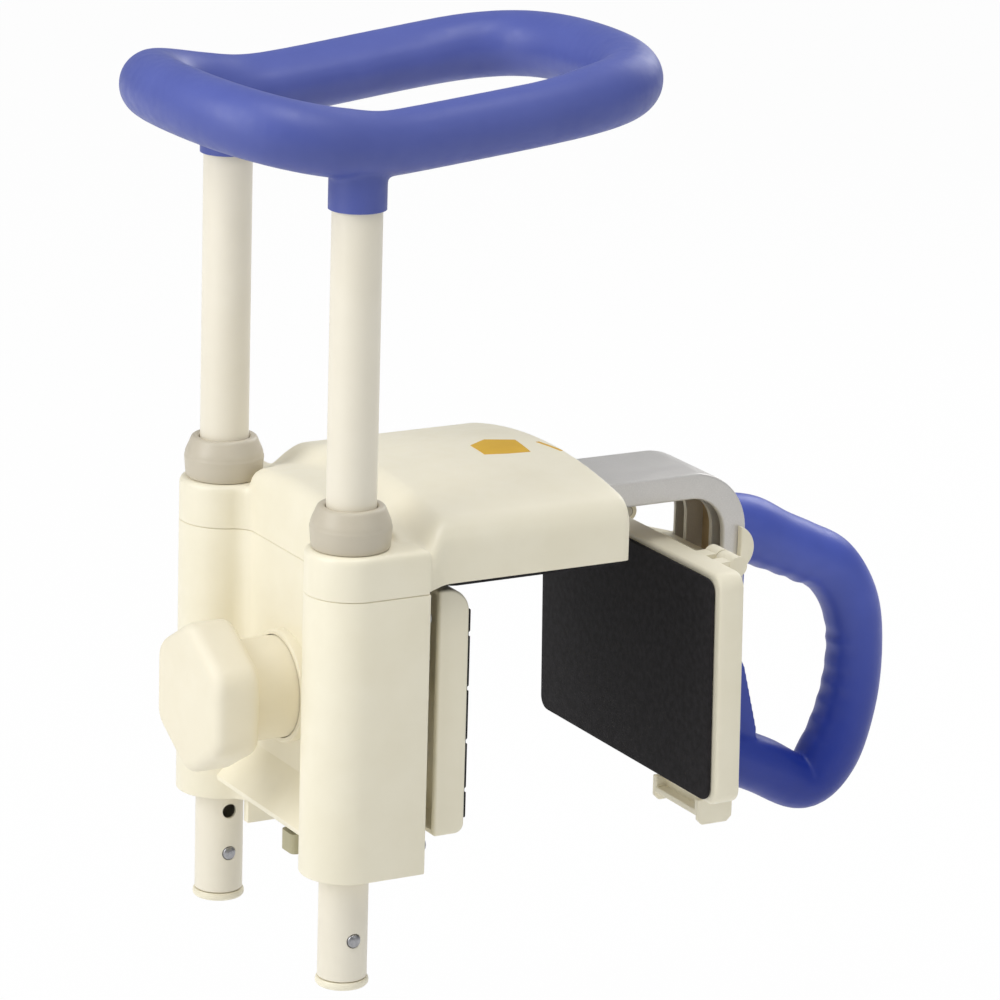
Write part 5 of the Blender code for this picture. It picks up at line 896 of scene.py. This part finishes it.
def make_handle(looks):
    line = handle_line(8)
    points = [(x, 0, z) for x, z, _ in line]
    shape, rings = tube(points, [r for _, _, r in line], 44, (0, 1, 0))
    travelled = 0.0
    middle = Vector((300, 0, -95))
    for index, ring in enumerate(rings):
        if index:
            travelled += (Vector(points[index]) - Vector(points[index - 1])).length
        scallop = abs(math.sin(math.pi * (travelled - GROOVES_START) / GROOVE_PITCH))
        upper = smooth_step(travelled, GROOVES_START, 30) * (1 - smooth_step(travelled, 62, 76))
        lower = smooth_step(travelled, 112, 124) * (1 - smooth_step(travelled, 186, 196))
        depth = GROOVE_DEPTH * scallop * (0.7 * upper + lower)
        inward = (middle - Vector(points[index])).normalized()
        for corner in ring:
            if corner.is_valid:
                offset = corner.co - Vector(points[index])
                facing = max(offset.normalized().dot(inward), 0.0)
                corner.co -= inward * depth * facing ** 1.5
    strap = prism(round_rectangle((HANDLE_BACK - 6, -10), (272.6, 10), 4), "XY", -158, -5)
    gusset = prism([(268, -80), (275.3, -95), (284.3, -131), (283.3, -148), (268, -146)], "XZ", -8.5, 8.5)
    shape = melted(fused(shape, strap, gusset), 1.1, 6)
    core, _ = tube(points, [HANDLE_CORE] * len(points), 24, (0, 1, 0))
    shape = cut(shape, box((200, -60, -260), (HANDLE_BACK, 60, 60)), core)
    piece("side_handle_grip", shape, looks["handle"], "arm", ["side_handle_cover"], sharp=50)


def hinge_bar(low, high, radius, steps):
    return bar((HINGE[0], low, HINGE[1]), (HINGE[0], high, HINGE[1]), radius, steps)


def make_bracket(looks):
    ear = arc((250.8, -20), 13, -90, 69, 28)
    cheek = ear + [(ear[-1][0], -25), (241.5, -25), (241.5, -33)]
    collar = prism(cheek, "XZ", -30, 30)
    rounded(collar, 1.6, 4, 40, lambda edge: all(abs(c.co.y) > 29 for c in edge.verts))
    half = [(223, -59.9), (235, -59.9), (249.5, -33)]
    yoke = prism(half + [(x, -y) for x, y in reversed(half)], "XY", -32, -26)
    arms = []
    holes = []
    for s in SIDES:
        low, high = span(s, 55.3, 60.7)
        arms.append(box((223.9, low + 0.4, -31), (234.1, high - 0.4, -16)))
        arms.append(rounded(hinge_bar(low, high, HINGE_BARREL, 40), 0.6, 2, 60))
        holes.append(hinge_bar(low - 2, high + 2, HINGE_HOLE, 32))
    shape = cut(fused(collar, yoke, *arms), box((246.2, -26.3, -40), (260.8, 26.3, 5)),
                box((259.5, -11.3, -40), (272.5, 11.3, 5)), *holes)
    piece("arm_bracket", shape, looks["cream"], "arm", ["pad_bracket"])
    outline = [(239, -160.6), (239, -172), (242, -175), (257.5, -175), (260.5, -172), (260.5, -160.6)]
    cap = cut(prism(outline, "XZ", -24, 24), box((235.5, -21.5, -178), (263.5, 21.5, -170)),
              box((237, -20, -166.6), (245, 20, -158)))
    piece("arm_end_cap", rounded(cap, 0.6, 3, 30), looks["cream"], "arm", ["leg_end_cap"])


def tilted(shape):
    hinge = Vector((HINGE[0], 0, HINGE[1]))
    turn = Matrix.Rotation(math.radians(-PAD_TILT), 4, "Y")
    bmesh.ops.transform(shape, matrix=Matrix.Translation(hinge) @ turn @ Matrix.Translation(-hinge),
                        verts=shape.verts)
    return shape


def make_inner_pad(looks):
    shell = prism(round_rectangle((-93, -138), (93, -12), 8, 8), "YZ", 204.5, 219.2)
    rounded(shell, 1.8, 4, 40)
    shell = cut(shell, prism(round_rectangle((-90, -135), (90, -15), 5, 6), "YZ", 207.5, 224))
    lugs = []
    for s in SIDES:
        for near, far in ((44, 55), (61, 70)):
            low, high = span(s, near, far)
            lugs.append(box((206.0, low + 0.4, -20.5), (HINGE[0], high - 0.4, -12.4)))
            lugs.append(hinge_bar(low, high, HINGE_BARREL, 40))
    shell = fused(shell, *lugs)
    shell = cut(shell, *[hinge_bar(s * 42, s * 68.3, HINGE_HOLE, 32) for s in SIDES])
    piece("inner_pad_shell", tilted(shell), looks["cream"], "inner_pad", ["inner_pad_frame"])
    pad = prism(round_rectangle((-88.5, -135.8), (88.5, -15), 7, 8), "YZ", 201.7, 204.2)
    rounded(pad, 0.8, 3, 40)
    piece("inner_pad_face", tilted(pad), looks["rubber"], "inner_pad", ["inner_pad_rubber"])


# Floor, light and camera

def make_floor():
    shape = bmesh.new()
    bmesh.ops.create_grid(shape, x_segments=1, y_segments=1, size=6.0)
    bmesh.ops.translate(shape, vec=(0, 0, FLOOR_HEIGHT), verts=shape.verts)
    mesh = finished_mesh("pale_floor", shape)
    floor = linked("pale_floor", mesh)
    material = bpy.data.materials.new("pale_floor")
    material.use_nodes = True
    tree = material.node_tree
    shader = tree.nodes["Principled BSDF"]
    shader.inputs["Base Color"].default_value = (0.9, 0.9, 0.9, 1)
    shader.inputs["Roughness"].default_value = 0.9
    glow = tree.nodes.new("ShaderNodeEmission")
    glow.inputs["Color"].default_value = (1, 1, 1, 1)
    rays = tree.nodes.new("ShaderNodeLightPath")
    either = tree.nodes.new("ShaderNodeMath")
    either.operation = "MAXIMUM"
    tree.links.new(rays.outputs["Is Camera Ray"], either.inputs[0])
    tree.links.new(rays.outputs["Is Glossy Ray"], either.inputs[1])
    part = tree.nodes.new("ShaderNodeMath")
    part.operation = "MULTIPLY"
    part.inputs[1].default_value = BACKDROP_SHARE
    tree.links.new(either.outputs[0], part.inputs[0])
    mix = tree.nodes.new("ShaderNodeMixShader")
    tree.links.new(part.outputs[0], mix.inputs["Fac"])
    tree.links.new(shader.outputs["BSDF"], mix.inputs[1])
    tree.links.new(glow.outputs["Emission"], mix.inputs[2])
    tree.links.new(mix.outputs["Shader"], tree.nodes["Material Output"].inputs["Surface"])
    mesh.materials.append(material)


def make_world():
    world = bpy.data.worlds.new("studio")
    bpy.context.scene.world = world
    world.use_nodes = True
    tree = world.node_tree
    shade = tree.nodes["Background"]
    shade.inputs["Color"].default_value = (0.96, 0.98, 1.0, 1)
    shade.inputs["Strength"].default_value = WORLD_STRENGTH
    white = tree.nodes.new("ShaderNodeBackground")
    white.inputs["Color"].default_value = (1, 1, 1, 1)
    rays = tree.nodes.new("ShaderNodeLightPath")
    first = tree.nodes.new("ShaderNodeMath")
    first.operation = "MAXIMUM"
    tree.links.new(rays.outputs["Is Camera Ray"], first.inputs[0])
    tree.links.new(rays.outputs["Is Transmission Ray"], first.inputs[1])
    mix = tree.nodes.new("ShaderNodeMixShader")
    tree.links.new(first.outputs[0], mix.inputs["Fac"])
    tree.links.new(shade.outputs["Background"], mix.inputs[1])
    tree.links.new(white.outputs["Background"], mix.inputs[2])
    tree.links.new(mix.outputs["Shader"], tree.nodes["World Output"].inputs["Surface"])


def view_direction(azimuth, elevation):
    """Direction from the object to its viewer; azimuth 0 stands at -Y and 90 at +X."""
    turn, rise = math.radians(azimuth), math.radians(elevation)
    return Vector((math.sin(turn) * math.cos(rise), -math.cos(turn) * math.cos(rise), math.sin(rise)))


def add_lamp(name, azimuth, elevation, distance, size, power):
    """Area lamp that looks at the object."""
    data = bpy.data.lights.new(name, "AREA")
    data.shape = "DISK"
    data.size = size
    data.energy = power
    lamp = linked(name, data)
    away = view_direction(azimuth, elevation)
    lamp.location = away * distance
    lamp.rotation_euler = away.to_track_quat("Z", "Y").to_euler()


def make_camera():
    """Camera at the photograph's place, found from the posts, the cover and the pads."""
    turn, roll = math.radians(CAMERA_AZIMUTH), math.radians(CAMERA_ROLL)
    back = view_direction(CAMERA_AZIMUTH, CAMERA_ELEVATION)
    right = Vector((math.cos(turn), math.sin(turn), 0))
    up = back.cross(right)
    away, aside, above = CAMERA_PLACE
    place = (back * away + right * aside + up * above) * MM + Vector((POST_AXIS, 0, 0))
    across = right * math.cos(roll) + up * math.sin(roll)
    upward = up * math.cos(roll) - right * math.sin(roll)
    data = bpy.data.cameras.new("photo_camera")
    data.sensor_width = SENSOR_WIDTH
    data.lens = FOCAL_PIXELS * SENSOR_WIDTH / PHOTO_PIXELS
    camera = linked("photo_camera", data)
    turned = Matrix((across, upward, back)).transposed().to_4x4()
    camera.matrix_world = Matrix.Translation(place) @ turned
    bpy.context.scene.camera = camera


def make_scene():
    bpy.context.scene.view_settings.view_transform = "Standard"
    make_camera()
    make_floor()
    make_world()
    for lamp in LAMPS:
        add_lamp(*lamp)
    looks = make_materials()
    finish_frame_nodes(looks)
    make_grip(looks)
    make_posts(looks)
    make_rings(looks)
    make_housing(looks)
    make_cover(looks)
    make_patches(looks)
    make_knob(looks)
    make_outer_pad(looks)
    make_arm(looks)
    make_handle(looks)
    make_bracket(looks)
    make_inner_pad(looks)


make_scene()
